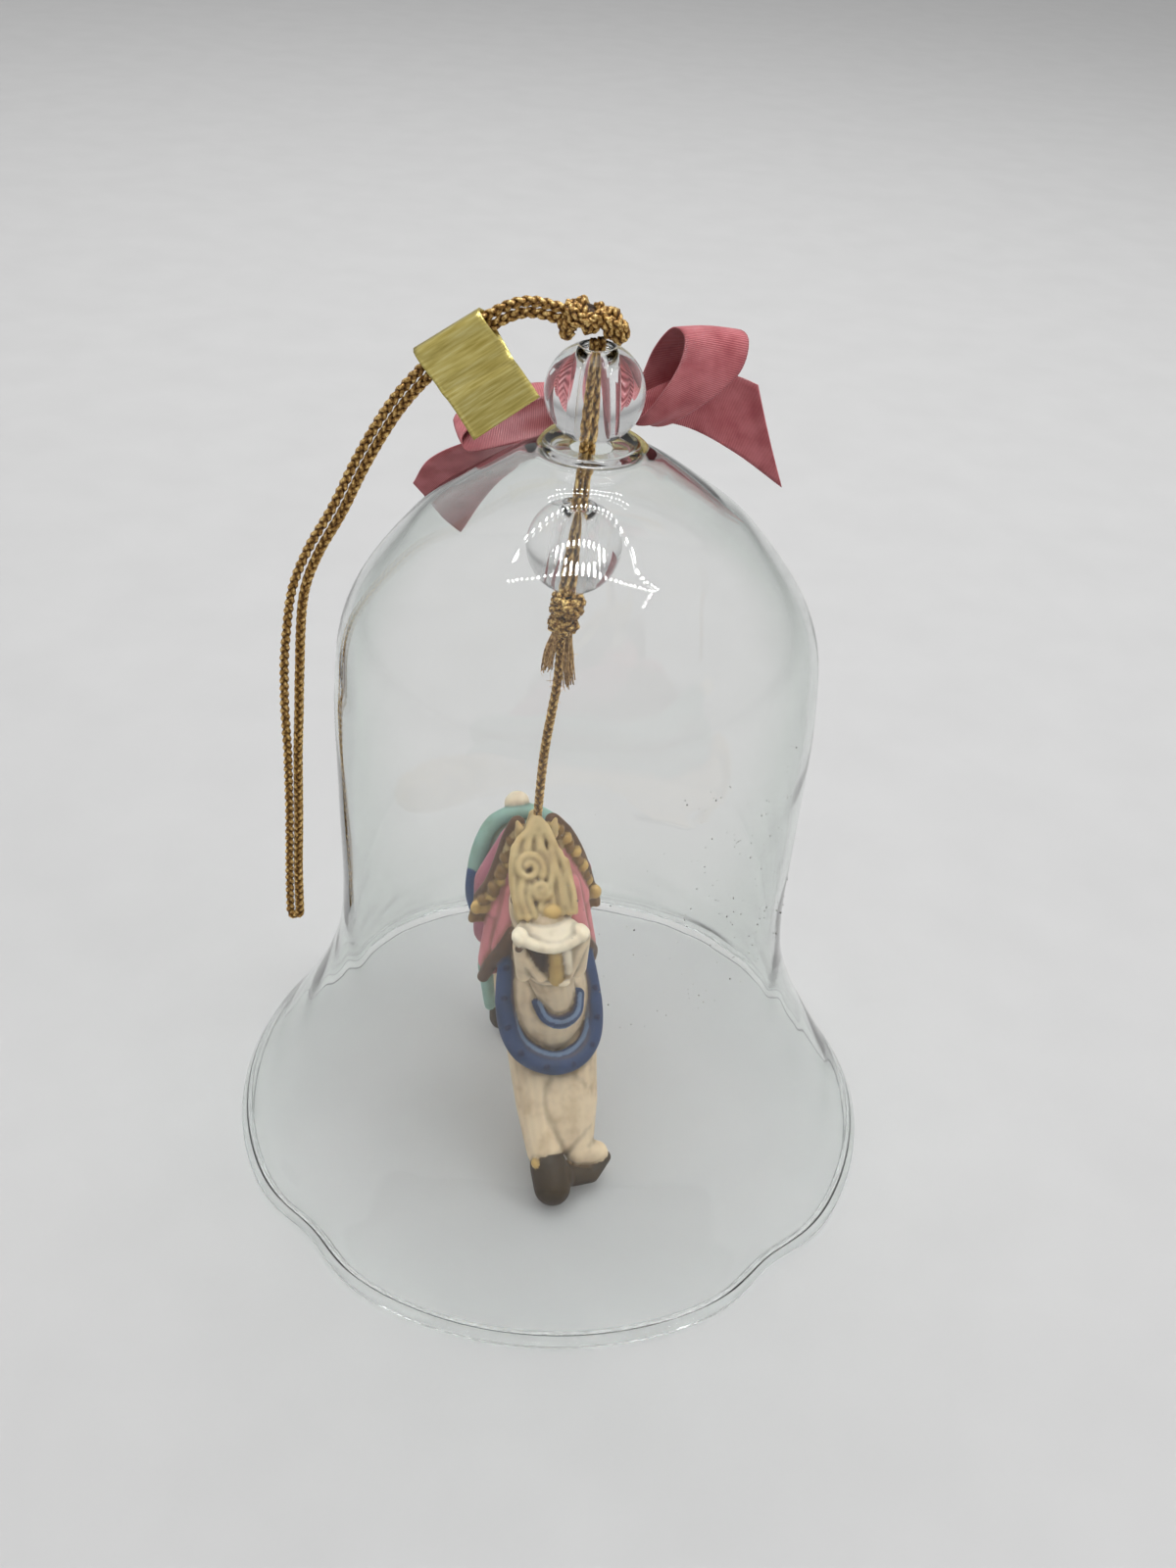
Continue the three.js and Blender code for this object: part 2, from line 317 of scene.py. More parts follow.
# ---- Gold cord ----
def gold_cord_material():
    """Metallic thread with painted shade between the plaits, a painted highlight where they stand out, and
    painted glints from fine noise.
    """
    material, nodes, links, shader = new_material("gold_cord")
    crown = add_node(nodes, "ShaderNodeAttribute", attribute_name="crown")
    fibres = noise(nodes, links, 3600, 2)
    glint = scale_and_add(nodes, links, fibres, 0.9, -0.28)
    level = scale_and_add(nodes, links, crown.outputs["Fac"], 0.62, glint)
    # From painted shade in the gaps (darkest) to a painted highlight on the crowns and glints (brightest).
    colors = ramp(nodes, links, level, [
        (0.14, (0.02, 0.008, 0.002)), (0.42, (0.14, 0.062, 0.012)),
        (0.66, (0.4, 0.21, 0.05)), (0.88, (0.98, 0.7, 0.28)),
    ])
    links.new(colors, shader.inputs["Base Color"])
    set_sockets(shader, {"Metallic": 0.45, "Roughness": 0.38})
    bump(nodes, links, fibres, shader, 0.6, 0.0001)
    return material


GOLD_CORD = gold_cord_material()


def braided(name, braid, body, node):
    """A piece of gold cord made of one or more braids."""
    vertices, faces, crown = braid
    piece = make_mesh(name, vertices, faces, GOLD_CORD, crown=crown)
    dress(piece, body, "gold_cord", node)
    return piece


# The loop's route, from the top knot over the shoulder to the fold at its lower end.
LOOP_ROUTE = mm([
    (-3.6, 0, 108.3), (-7, 0, 108.8), (-10, 0, 107.7), (-14, 0, 104.7), (-17.8, 0, 100.9),
    (-20.9, 0, 96.9), (-24.1, 0, 91.3), (-26.9, 0, 85.4), (-29.7, 0, 80.3), (-31.6, 0, 75.3),
    (-32.5, 0, 69), (-33.0, 0, 62), (-33.3, 0, 53), (-33.6, 0, 44), (-34, 0, 36), (-34.2, 0, 28.8),
])
# Half the gap between the loop's two strands, at even steps down the route.
LOOP_SPREAD = np.array([0.56, 0.56, 0.56, 0.56, 0.56, 0.56, 0.58, 0.62, 0.75, 0.9, 0.85, 0.62,
                        0.57, 0.56, 0.56, 0.6]) * MM


def hanging_loop_line():
    """Down one strand, round the fold and back up the other."""
    route = curve_through(LOOP_ROUTE, 160)
    normals, sideways = frames_along(route)
    steps = np.linspace(0, 1, len(route))
    spread = np.interp(steps, np.linspace(0, 1, len(LOOP_SPREAD)), LOOP_SPREAD)[:, None]
    down = route + sideways * spread
    up = (route - sideways * spread)[::-1]
    turn = np.linspace(0, math.pi, 9)[1:-1, None]
    middle, across = route[-1], sideways[-1] * spread[-1]
    along = (route[-1] - route[-2]) / np.linalg.norm(route[-1] - route[-2])
    fold = middle + np.cos(turn) * across + np.sin(turn) * along * spread[-1]
    return np.vstack([down, fold, up])


loop_line = evenly(hanging_loop_line(), 500)
hanging_loop = braided("hanging_loop_braid", braid_grid(loop_line, BRAID_D), "loop", "hanging_loop")


# ---- The cord between the knots, and down to the horse ----
HALF_APART = Vector((0.36 * MM, 0.26 * MM, 0))  # the strands lie partly one behind the other


def doubled_braid(name, top, bottom, body, node):
    """Two braided strands side by side between two points."""
    braids = []
    for side, phase in ((HALF_APART, 0.0), (-HALF_APART, 2.0)):
        line = curve_through([top + side, (top + bottom) / 2 + side * 1.04, bottom + side], 30)
        braids.append(braid_grid(line, CORD_D, phase))
    braided(name, merge_braids(braids), body, node)


def on_hanging_line(z):
    """The point at a height on the line the clapper hangs from."""
    share = (PIVOT.z - z * MM) / (PIVOT.z - HORSE_TOP.z)
    return PIVOT.lerp(HORSE_TOP, share)


def beside(origin, x, y, z):
    return origin + Vector((x, y, z)) * MM


ON_UPPER_BEAD = Vector((0, 0, UPPER_BEAD.z + BEAD_R + 0.3 * MM))
BEAD_CORD_END = 76.8
CLAPPER_CORD_START = 72.4
doubled_braid("through_cord_braid", ON_UPPER_BEAD, PIVOT, "cord", "through_cord")
doubled_braid("bead_cord_braid", PIVOT - Vector((0, 0, 0.05 * MM)), on_hanging_line(BEAD_CORD_END),
              "pendulum", "bead_cord")

clapper_line = curve_through([
    on_hanging_line(CLAPPER_CORD_START), beside(on_hanging_line(66), 0.25, 0, 0),
    beside(on_hanging_line(56), -0.12, 0, 0), HORSE_TOP + Vector((0, 0, -1.2 * MM)),
], 80)
braided("clapper_cord_braid", braid_grid(clapper_line, BRAID_D), "clapper", "clapper_cord")


# ---- Knots: the doubled cord wound round itself and drawn tight ----
def ellipsoid_grid(center, radii, columns=24, rows=14):
    vertices = [(0, 0, 1)]
    for i in range(1, rows):
        tilt = math.pi * i / rows
        for j in range(columns):
            turn = 2 * math.pi * j / columns
            vertices.append((math.sin(tilt) * math.cos(turn), math.sin(tilt) * math.sin(turn),
                             math.cos(tilt)))
    vertices.append((0, 0, -1))
    faces = [(0, 1 + j, 1 + (j + 1) % columns) for j in range(columns)]
    for face in grid_faces(rows - 1, columns, close_columns=True, flip=True):
        faces.append(tuple(1 + corner for corner in face))
    last = len(vertices) - 1
    lowest = last - columns
    faces += [(last, lowest + (j + 1) % columns, lowest + j) for j in range(columns)]
    return np.array(vertices) * np.array(radii) + np.array(center), faces


CORE_SHARE = 0.86  # how much of a knot its plain core fills


def knot_lump(center, radii, turns):
    """Turns of braid round an oval core. Each turn is its axis, how far along it, and its swell."""
    braids = []
    for number, (axis, offset, swell) in enumerate(turns):
        axis = np.array(axis, float) / np.linalg.norm(axis)
        across = np.cross(axis, (0.3, 1, 0.2))
        across /= np.linalg.norm(across)
        other = np.cross(axis, across)
        a = np.linspace(0, 2 * math.pi, 49)[:, None]
        ring = math.sqrt(1 - offset**2) * (np.cos(a) * across + np.sin(a) * other) + offset * axis
        line = ring * np.array(radii) * swell + np.array(center)
        braids.append(braid_grid(line, BRAID_D, 1.7 * number))
    core_vertices, core_faces = ellipsoid_grid(center, CORE_SHARE * np.array(radii))
    # The core's crown is zero, so it wears the cord's darkest colour: painted shade inside the knot.
    braids.append((core_vertices, core_faces, np.zeros(len(core_vertices))))
    return merge_braids(braids)


def make_knot(name, body, node, parts):
    braided(name, merge_braids([knot_lump(*part) for part in parts]), body, node)


TOP_KNOT = sum(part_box("top_knot"), Vector()) / 2
LOWER_KNOT = sum(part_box("lower_knot"), Vector()) / 2
make_knot("top_knot_braid", "cord", "top_knot", [
    (beside(TOP_KNOT, -0.8, -0.1, 0.2), mm((1.9, 1.4, 1.35)),
     [((1, 0, 0), -0.62, 1), ((1, 0, 0.2), 0, 1.06), ((1, 0.1, -0.2), 0.6, 1),
      ((0.5, 0, 0.9), 0.1, 1.1), ((-0.5, 0.2, 0.85), -0.2, 1.12)]),
    (beside(TOP_KNOT, 1.7, -0.1, -0.4), mm((1.3, 1.2, 1.1)),
     [((1, 0, 0.1), -0.1, 1.05), ((1, 0.2, 0.3), 0.6, 1), ((0.4, 0.2, 0.9), 0.2, 1.12)]),
    (beside(TOP_KNOT, -2.5, -0.4, -0.9), mm((0.5, 0.6, 0.95)),
     [((0.2, 1, 0), 0, 1), ((1, 0.2, 0), 0, 1)]),
    (beside(TOP_KNOT, 2.8, -0.5, -1.1), mm((0.45, 0.6, 0.8)),
     [((0.2, 1, 0), 0, 1), ((1, -0.2, 0.2), 0, 1)]),
])
make_knot("lower_knot_braid", "pendulum", "lower_knot", [
    (beside(LOWER_KNOT, 0.15, 0, 1.2), mm((1.7, 1.3, 1.2)),
     [((0, 0, 1), -0.45, 1), ((0.2, 0, 1), 0.45, 1), ((0.8, 0, 0.6), 0.1, 1.1),
      ((-0.7, 0.2, 0.6), 0, 1.12)]),
    (beside(LOWER_KNOT, -0.1, -0.1, -1.2), mm((1.35, 1.15, 1.05)),
     [((0.3, 0, 1), 0, 1.04), ((1, 0, 0.3), -0.1, 1.1), ((-0.6, 0.1, 0.8), 0.3, 1.05)]),
])


# ---- Frayed ends: loose fibres that fan out under the lower knot ----
def fibre_material():
    stops = [(0.35, (0.3, 0.16, 0.05)), (0.55, (0.68, 0.42, 0.17)), (0.75, (0.92, 0.7, 0.38))]
    return cloudy_material("frayed_fibre", 2600, stops, {"Roughness": 0.45, "Metallic": 0.25})


FIBRE = fibre_material()
FIBRE_R = np.linspace(0.11, 0.07, 8) * MM  # from a fibre's root to its tip
LOOSE_FIBRE_R = 0.022 * MM


def fanned_fibre(start, direction, length, spread):
    """One fibre that leaves the cord's cut end with the rest of the fan."""
    root = np.array(start) + np.array([random.uniform(-0.34, 0.34), random.uniform(-0.3, 0.3), 0]) * MM
    aim = np.array([direction + random.gauss(0, spread), random.gauss(0, spread), -1.0])
    reach = length * random.uniform(0.65, 1.0)
    bend = np.array([random.gauss(0, 0.04), random.gauss(0, 0.04), 0]) * reach
    line = curve_through([root, root + aim * reach * 0.5 + bend, root + aim * reach], len(FIBRE_R))
    return tube_grid(line, FIBRE_R, 4)


def loose_fibre(start, length):
    """One thin fibre that curls away from the fan in any direction."""
    root = np.array(start) + np.array([0, 0, -random.uniform(0, length)])
    aim = np.array([random.gauss(0, 1), random.gauss(0, 1), -random.uniform(0.2, 1)])
    aim /= np.linalg.norm(aim)
    curl = np.array([random.gauss(0, 1), random.gauss(0, 1), random.gauss(0, 1)]) * 0.6 * MM
    line = curve_through([root, root + aim * 1.4 * MM + curl, root + aim * 2.6 * MM], 10)
    return tube_grid(line, LOOSE_FIBRE_R, 4)


def fibre_fan(name, node, start, direction, length, spread, count, loose):
    fibres = [fanned_fibre(start, direction, length, spread) for _ in range(count)]
    fibres += [loose_fibre(start, length) for _ in range(loose)]
    dress(make_mesh(name, *merge(fibres), FIBRE), "pendulum", "frayed_fibre", node)


fibre_fan("frayed_fibres_left", "frayed_end_left", beside(on_hanging_line(72.6), -0.55, 0, 0),
          direction=-0.22, length=5.8 * MM, spread=0.045, count=34, loose=4)
fibre_fan("frayed_fibres_right", "frayed_end_right", beside(on_hanging_line(72.4), 0.7, 0, 0),
          direction=0.06, length=7.6 * MM, spread=0.03, count=32, loose=6)


# ---- Foil sticker: two layers of foil folded over the loop and pressed together ----
def foil_material():
    """Brushed metallised film: fine streaks along the fold, a little cloudy."""
    material, nodes, links, shader = new_material("gold_foil")
    texture = add_node(nodes, "ShaderNodeTexNoise", Scale=1.0, Detail=4.0)
    streaks = stretched(nodes, links, texture, (260, 3400, 1))
    colors = ramp(nodes, links, streaks, [
        (0.3, (0.5, 0.39, 0.09)), (0.5, (0.7, 0.58, 0.18)), (0.72, (0.85, 0.76, 0.34)),
    ])
    links.new(colors, shader.inputs["Base Color"])
    set_sockets(shader, {"Metallic": 0.8, "Roughness": 0.3})
    bump(nodes, links, streaks, shader, 0.3, 0.00006)
    return material


STICKER_FOLD = mm([(-17.9, -0.2, 102.9), (-11.3, -0.2, 107.5)])
STICKER_EDGE = mm([(-12.0, -2.6, 95.5), (-5.5, -2.8, 100.6)])
FOIL_WRAP = 1.15 * MM  # how far the fold bulges round the cord
FOIL_GAP = 0.13 * MM  # half the gap between the two pressed layers
FOIL_T = 0.06 * MM


def make_sticker():
    """A sheet that comes up from its free edge, round the cord and back down behind."""
    rows, columns = 61, 14
    width = float(np.linalg.norm(STICKER_FOLD[1] - STICKER_FOLD[0]))
    drop = float(np.linalg.norm(STICKER_EDGE[0] - STICKER_FOLD[0]))
    down = (STICKER_EDGE - STICKER_FOLD).mean(0) / drop
    out = np.cross(down, STICKER_FOLD[1] - STICKER_FOLD[0])
    out /= np.linalg.norm(out)
    vertices, uvs = [], []
    for i in range(rows):
        s = -1 + 2 * i / (rows - 1)
        depth = abs(s)
        bulge = FOIL_WRAP * math.exp(-(depth * 3.4) ** 2) * math.sqrt(1 - (1 - min(1, depth * 7)) ** 2)
        gap = math.copysign(bulge + FOIL_GAP, s)
        lift = -down * FOIL_WRAP * 0.95 * math.exp(-(depth * 6) ** 2)
        for j in range(columns):
            t = j / (columns - 1)
            fold = STICKER_FOLD[0] * (1 - t) + STICKER_FOLD[1] * t
            edge = STICKER_EDGE[0] * (1 - t) + STICKER_EDGE[1] * t
            crease = 0.3 * MM * math.exp(-((depth - 0.42 - 0.1 * t) / 0.07) ** 2)
            ripple = 0.14 * MM * math.sin(5 * t + 7 * depth) * depth + crease
            vertices.append(fold * (1 - depth) + edge * depth + out * (gap + ripple) + lift)
            uvs.append((width * t, drop * s))
    piece = make_mesh("foil_sticker_folded", vertices, grid_faces(rows, columns), foil_material(), uvs)
    piece.modifiers.new("thickness", "SOLIDIFY").thickness = FOIL_T
    dress(piece, "loop", "gold_foil", "foil_sticker")


make_sticker()


# ---- Glass ----
def clear_material(name, face_tint, edge_tint, ior, waviness):
    """Clear glass or acrylic, tinted where it's seen edge on, that lets lamps through."""
    material, nodes, links, shader = new_material(name)
    facing = add_node(nodes, "ShaderNodeLayerWeight", Blend=0.5)
    tint = ramp(nodes, links, facing.outputs["Facing"], [(0.35, face_tint), (0.92, edge_tint)])
    links.new(tint, shader.inputs["Base Color"])
    set_sockets(shader, {"Transmission Weight": 1, "Roughness": 0, "IOR": ior})
    bump(nodes, links, noise(nodes, links, 55, 1), shader, waviness, 0.0015)
    rays = nodes.new("ShaderNodeLightPath")
    see = nodes.new("ShaderNodeBsdfTransparent")
    see.inputs["Color"].default_value = (0.93, 0.95, 0.945, 1)
    mix = nodes.new("ShaderNodeMixShader")
    links.new(rays.outputs["Is Shadow Ray"], mix.inputs["Fac"])
    links.new(shader.outputs["BSDF"], mix.inputs[1])
    links.new(see.outputs["BSDF"], mix.inputs[2])
    links.new(mix.outputs["Shader"], nodes["Material Output"].inputs["Surface"])
    return material


BELL_GLASS = clear_material("bell_glass", (0.972, 0.976, 0.971), (0.67, 0.74, 0.7), 1.47, 0.22)
BEAD_CLEAR = clear_material("bead_acrylic", (0.985, 0.99, 0.99), (0.88, 0.9, 0.9), 1.49, 0.04)

WALL = 0.95 * MM
# Radius and height of the outside, from the rim up to the collar.
BELL_OUTSIDE = mm([
    (41.9, 0, 0.9), (40.4, 0, 3.6), (37.4, 0, 8), (32.4, 0, 17), (28.7, 0, 27), (27.4, 0, 37),
    (27.5, 0, 52), (27.5, 0, 66), (25.9, 0, 75.5), (19.6, 0, 84.5), (14.2, 0, 89), (8.6, 0, 92.9),
    (5.3, 0, 94.2),
])
DENTS = [(23, 1.6), (147, 1.6), (225, 1.9), (316, 1.9)]
DENT_HALF_WIDTH = 9
DENT_REACH = 16 * MM


def dent_at(azimuth, z):
    fade = max(0.0, 1 - z / DENT_REACH) ** 2
    return sum(fade * depth * MM
               * math.exp(-(((azimuth - center + 180) % 360 - 180) / DENT_HALF_WIDTH) ** 2)
               for center, depth in DENTS)


def lathe(profile, segments, shape=lambda r, azimuth, z: r):
    """A closed profile of (radius, height) turned round the vertical; shape may change each radius."""
    vertices = []
    for j in range(segments):
        turn = 2 * math.pi * j / segments
        for r, z in profile:
            radius = shape(r, math.degrees(turn), z)
            vertices.append((radius * math.cos(turn), radius * math.sin(turn), z))
    return vertices, grid_faces(segments, len(profile), close_rows=True, close_columns=True, flip=True)


def scaled(pairs):
    return [(r * MM, z * MM) for r, z in pairs]


def bell_profile():
    line = curve_through(BELL_OUTSIDE, 120)
    tangents = np.gradient(line, axis=0)
    tangents /= np.linalg.norm(tangents, axis=1)[:, None]
    inside = line + WALL * np.stack([-tangents[:, 2], 0 * tangents[:, 0], tangents[:, 0]], 1)
    outside = [(p[0], p[2]) for p in line]
    inside = [(p[0], p[2]) for p in inside if 1.9 * MM < p[2] < LIP_Z - 2.4 * MM][::-1]
    bead = [(40.3, 1.4), (40.0, 0.7), (40.5, 0.12), (41.2, 0.0), (41.8, 0.35)]
    # The collar is a thin dish that the bead rests in, with a rounded lip and a hole for the cord.
    collar = [(5.25, 94.7), (5.15, 95.05), (4.85, 95.25), (4.5, 95.1), (4.1, 94.9), (2.5, 94.75),
              (2.25, 94.6), (2.25, 94.4), (2.5, 94.25), (4.0, 94.2), (4.6, 93.9), (5.6, 93.3)]
    return outside + scaled(collar) + inside + scaled(bead)


def dented(r, azimuth, z):
    return r - dent_at(azimuth, z)


glass = make_mesh("glass_bell_blown", *lathe(bell_profile(), 240, dented), BELL_GLASS)
dress(glass, "bell", "bell_glass", "glass_bell")
BEAD_HOLE_R = 1.8 * MM


def make_bead(name, center, tilt, body, node):
    start = math.asin(BEAD_HOLE_R / BEAD_R)
    arc = [(BEAD_R * math.sin(a), -BEAD_R * math.cos(a)) for a in np.linspace(start, math.pi - start, 60)]
    top = arc[-1][1]
    bore = [(BEAD_HOLE_R, top * s) for s in np.linspace(0.94, -0.94, 12)]
    piece = make_mesh(name, *lathe(arc + bore, 96), BEAD_CLEAR)
    piece.matrix_world = Matrix.Translation(center) @ Matrix.Rotation(tilt, 4, "Y")
    dress(piece, body, "bead_acrylic", node)


HANG_TILT = math.radians(4.131)
make_bead("upper_bead_clear", UPPER_BEAD, 0, "bead_on_collar", "upper_bead")
make_bead("lower_bead_clear", LOWER_BEAD, HANG_TILT, "bead_in_dome", "lower_bead")


# ---- Satin bow, glued behind the neck ----
RIBBON_W = 6.4 * MM
RIBBON_T = 0.16 * MM
LOOP_INSIDE_SHADE = 0.72  # how much of its color the inside of a loop keeps: painted shade


def satin_material():
    """Fine ribs across the ribbon and a soft cloud, darkened by the shade that each piece carries."""
    material, nodes, links, shader = new_material("pink_satin")
    texture = add_node(nodes, "ShaderNodeTexWave", Scale=1.0, Distortion=0.6)
    texture.inputs["Detail Scale"].default_value = 2.0
    ribs = stretched(nodes, links, texture, (1500, 40, 1))
    level = scale_and_add(nodes, links, ribs, 0.42, noise(nodes, links, 420, 3))
    colors = ramp(nodes, links, level, [
        (0.35, (0.38, 0.06, 0.075)), (0.7, (0.57, 0.13, 0.15)), (0.95, (0.74, 0.24, 0.26)),
    ])
    crown = add_node(nodes, "ShaderNodeAttribute", attribute_name="crown")
    links.new(multiplied(nodes, links, colors, crown.outputs["Color"], 1.0), shader.inputs["Base Color"])
    set_sockets(shader, {"Roughness": 0.34, "Anisotropic": 0.6, "Sheen Weight": 0.12,
                         "Sheen Tint": (1, 0.75, 0.78, 1)})
    bump(nodes, links, ribs, shader, 0.7, 0.00006)
    return material


SATIN = satin_material()


def ribbon(name, node, rows, crown=0.0, crease=0.0, shaded_side=0):
    """A strip between two long edges. Each row holds a point of either edge, in millimetres.

    The last argument is 1 or -1 for the side that faces into a loop, which gets painted shade, or 0 for a
    flat tail.
    """
    steps, columns = 72, 15
    edge_a = curve_through(mm([row[0] for row in rows]), steps)
    edge_b = curve_through(mm([row[1] for row in rows]), steps)
    along = line_length((edge_a + edge_b) / 2)
    tangents = np.gradient((edge_a + edge_b) / 2, axis=0)
    vertices, uvs, shades = [], [], []
    for side in (1, -1):
        for i in range(steps):
            outward = np.cross(tangents[i], edge_b[i] - edge_a[i])
            outward /= np.linalg.norm(outward)
            gathered = math.exp(-i / 9)
            for j in range(columns):
                t = j / (columns - 1)
                arch = crown * MM * math.sin(math.pi * t)
                pleat = crease * MM * math.sin(3 * math.pi * t) * gathered
                lift = arch + pleat + side * RIBBON_T / 2
                vertices.append(edge_a[i] * (1 - t) + edge_b[i] * t + outward * lift)
                uvs.append((along * i / (steps - 1), RIBBON_W * t))
                # Painted shade: the side inside a loop keeps only part of its colour, and both sides
                # darken near the knot where the ribbon starts.
                shades.append((LOOP_INSIDE_SHADE if side == shaded_side else 1) * (1 - 0.4 * gathered))
    under = steps * columns
    faces = []
    for face in grid_faces(steps, columns):
        faces += [face, tuple(under + corner for corner in reversed(face))]
    border = list(range(columns))
    border += [i * columns + columns - 1 for i in range(1, steps)]
    border += [(steps - 1) * columns + j for j in reversed(range(columns - 1))]
    border += [i * columns for i in reversed(range(1, steps - 1))]
    faces += [(b, a, under + a, under + b) for a, b in zip(border, border[1:] + border[:1])]
    dress(make_mesh(name, vertices, faces, SATIN, uvs, shades), "bell", "pink_satin", node)


ribbon("satin_loop_right", "bow_loop_right", [
    ((2.4, 8.6, 94.0), (2.8, 8.9, 95.8)),
    ((5.0, 7.6, 95.2), (7.0, 8.4, 94.0)),
    ((7.2, 7.2, 98.4), (11.6, 9.2, 96.4)),
    ((8.7, 7.8, 101.4), (15.3, 10.6, 99.8)),
    ((9.0, 9.0, 103.8), (16.0, 12.2, 103.0)),
    ((7.7, 10.7, 104.2), (14.4, 13.8, 103.4)),
    ((6.0, 11.8, 101.6), (11.9, 14.6, 100.6)),
    ((4.8, 11.4, 98.4), (8.6, 12.8, 97.2)),
    ((3.2, 9.6, 94.8), (3.4, 10.4, 96.2)),
], crown=-0.25, crease=0.35, shaded_side=1)
ribbon("satin_loop_left", "bow_loop_left", [
    ((-2.2, 8.4, 93.4), (-2.0, 8.8, 95.6)),
    ((-5.6, 7.4, 92.3), (-5.6, 10.0, 95.9)),
    ((-10.2, 7.8, 90.6), (-11.0, 11.4, 92.8)),
    ((-13.9, 9.2, 89.2), (-15.6, 13.4, 90.6)),
    ((-14.4, 11.0, 90.6), (-15.2, 15.6, 91.6)),
    ((-10.6, 10.9, 93.0), (-10.6, 15.0, 94.4)),
    ((-5.8, 10.2, 94.8), (-5.6, 12.8, 96.4)),
    ((-2.6, 9.4, 95.0), (-2.4, 10.4, 96.2)),
], crown=0.2, crease=0.3, shaded_side=-1)
ribbon("satin_tail_right", "bow_tail_right", [
    ((2.4, 9.4, 93.8), (2.8, 10.4, 95.6)),
    ((6.6, 10.2, 93.9), (8.4, 11.8, 98.2)),
    ((11.0, 11.2, 92.8), (12.8, 13.0, 99.0)),
    ((16.2, 11.4, 90.2), (15.6, 12.8, 98.6)),
    ((21.6, 10.8, 86.9), (17.6, 11.8, 98.2)),
], crown=0.35, crease=0.25)
ribbon("satin_tail_left", "bow_tail_left", [
    ((-2.2, 9.4, 93.9), (-2.0, 10.6, 94.6)),
    ((-8.0, 10.6, 91.6), (-6.2, 15.0, 89.8)),
    ((-14.4, 12.6, 88.8), (-10.8, 18.6, 84.6)),
    ((-18.8, 14.6, 85.6), (-14.0, 20.6, 79.2)),
    ((-20.9, 16.2, 81.8), (-16.4, 21.8, 74.0)),
], crown=0.3, crease=0.25)


BAND_HALF_W = 2.3 * MM
BAND_DEEP = 1.7 * MM
BAND_HIGH = 2.3 * MM


def make_bow_knot():
    """A narrow band of ribbon gathered round the bow's middle."""
    center = sum(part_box("bow_knot"), Vector()) / 2
    rows, columns = 60, 15
    vertices, uvs, shades = [], [], []
    for i in range(rows):
        turn = 2 * math.pi * i / rows
        for j in range(columns):
            t = -1 + 2 * j / (columns - 1)
            fold = 1 + 0.09 * math.sin(5 * math.pi * t + 0.8 * math.sin(turn))
            swell = math.sqrt(max(0.05, 1 - (0.82 * t) ** 2)) * fold
            vertices.append(center + Vector((t * BAND_HALF_W, BAND_DEEP * swell * math.cos(turn),
                                             BAND_HIGH * swell * math.sin(turn))))
            uvs.append((12 * MM * i / rows, 3 * MM * t))
            # Painted shade: the band is darker than the loops, and darkest in the hollows of its folds.
            shades.append(0.8 + 2 * (fold - 1))
    faces = grid_faces(rows, columns, close_rows=True, flip=True)
    faces.append(tuple(i * columns for i in range(rows))[::-1])
    faces.append(tuple(i * columns + columns - 1 for i in range(rows)))
    dress(make_mesh("satin_knot", vertices, faces, SATIN, uvs, shades), "bell", "pink_satin", "bow_knot")


make_bow_knot()


# ---- Amber glue round the back of the neck ----
def glue_material():
    stops = [(0.35, (0.42, 0.3, 0.07)), (0.6, (0.72, 0.62, 0.28)), (0.8, (0.8, 0.78, 0.5))]
    return cloudy_material("amber_glue", 600, stops, {"Roughness": 0.15, "Transmission Weight": 0.6},
                           bumps=(0.4, 0.0003))


GLUE_RING_R = 5.55 * MM
GLUE_POINTS = 60


def make_glue():
    """A smear that follows the neck from one side, round the back, to the other."""
    turns = np.radians(np.linspace(-8, 188, GLUE_POINTS))
    line = np.stack([GLUE_RING_R * np.cos(turns), GLUE_RING_R * np.sin(turns),
                     LIP_Z - (0.75 + 0.15 * np.sin(turns * 5)) * MM], 1)
    thick = 0.42 + 0.18 * np.sin(turns * 3 + 1) + 0.5 * np.exp(-((turns - math.pi / 2) * 2) ** 2)
    along = np.arange(GLUE_POINTS)
    ends = np.minimum(1, np.minimum(along, along[::-1]) / 6 + 0.15)
    piece = make_mesh("glue_smear", *tube_grid(line, thick * ends * MM, 12), glue_material())
    dress(piece, "bell", "amber_glue", "glue_dab")


make_glue()


# ---- Carousel horse: one cast and painted figure ----
# Built facing -Y in millimetres, crosswise, lengthwise (negative is forward) and height.
# Each lump is a tapered limb between two points, or an oval, and carries the paint it wears.
PAINTS = {
    "cream": (0.74, 0.6, 0.42),
    "mane": (0.5, 0.38, 0.19),
    "pale": (0.8, 0.71, 0.56),
    "pink": (0.64, 0.24, 0.26),
    "mauve": (0.42, 0.15, 0.2),
    "teal": (0.26, 0.42, 0.37),
    "navy": (0.03, 0.07, 0.18),
    "blue": (0.022, 0.046, 0.128),
    "sky": (0.13, 0.19, 0.31),
    "dots": (0.008, 0.012, 0.05),
    "rope": (0.23, 0.135, 0.045),
    "brown": (0.11, 0.055, 0.025),
    "hoof": (0.045, 0.027, 0.01),
    "gold": (0.5, 0.34, 0.12),
    # recess_shade: painted shade, the near-black used inside the open mouth and in the mane curls'
    # middles.
    "recess_shade": (0.05, 0.022, 0.01),
}
BODY_X = 1.2  # the body stands a little to one side of the head
lumps = []


def oval(paint, center, radii, tip=0.0):
    lumps.append(("oval", paint, np.array(center, float), np.array(radii, float), math.radians(tip)))


def limb(paint, start, end, start_r, end_r):
    lumps.append(("limb", paint, np.array(start, float), np.array(end, float), (start_r, end_r)))


def chain(paint, *joints):
    """Limbs from joint to joint, each joint a place and the radius there."""
    for (*start, start_r), (*end, end_r) in zip(joints, joints[1:]):
        limb(paint, start, end, start_r, end_r)


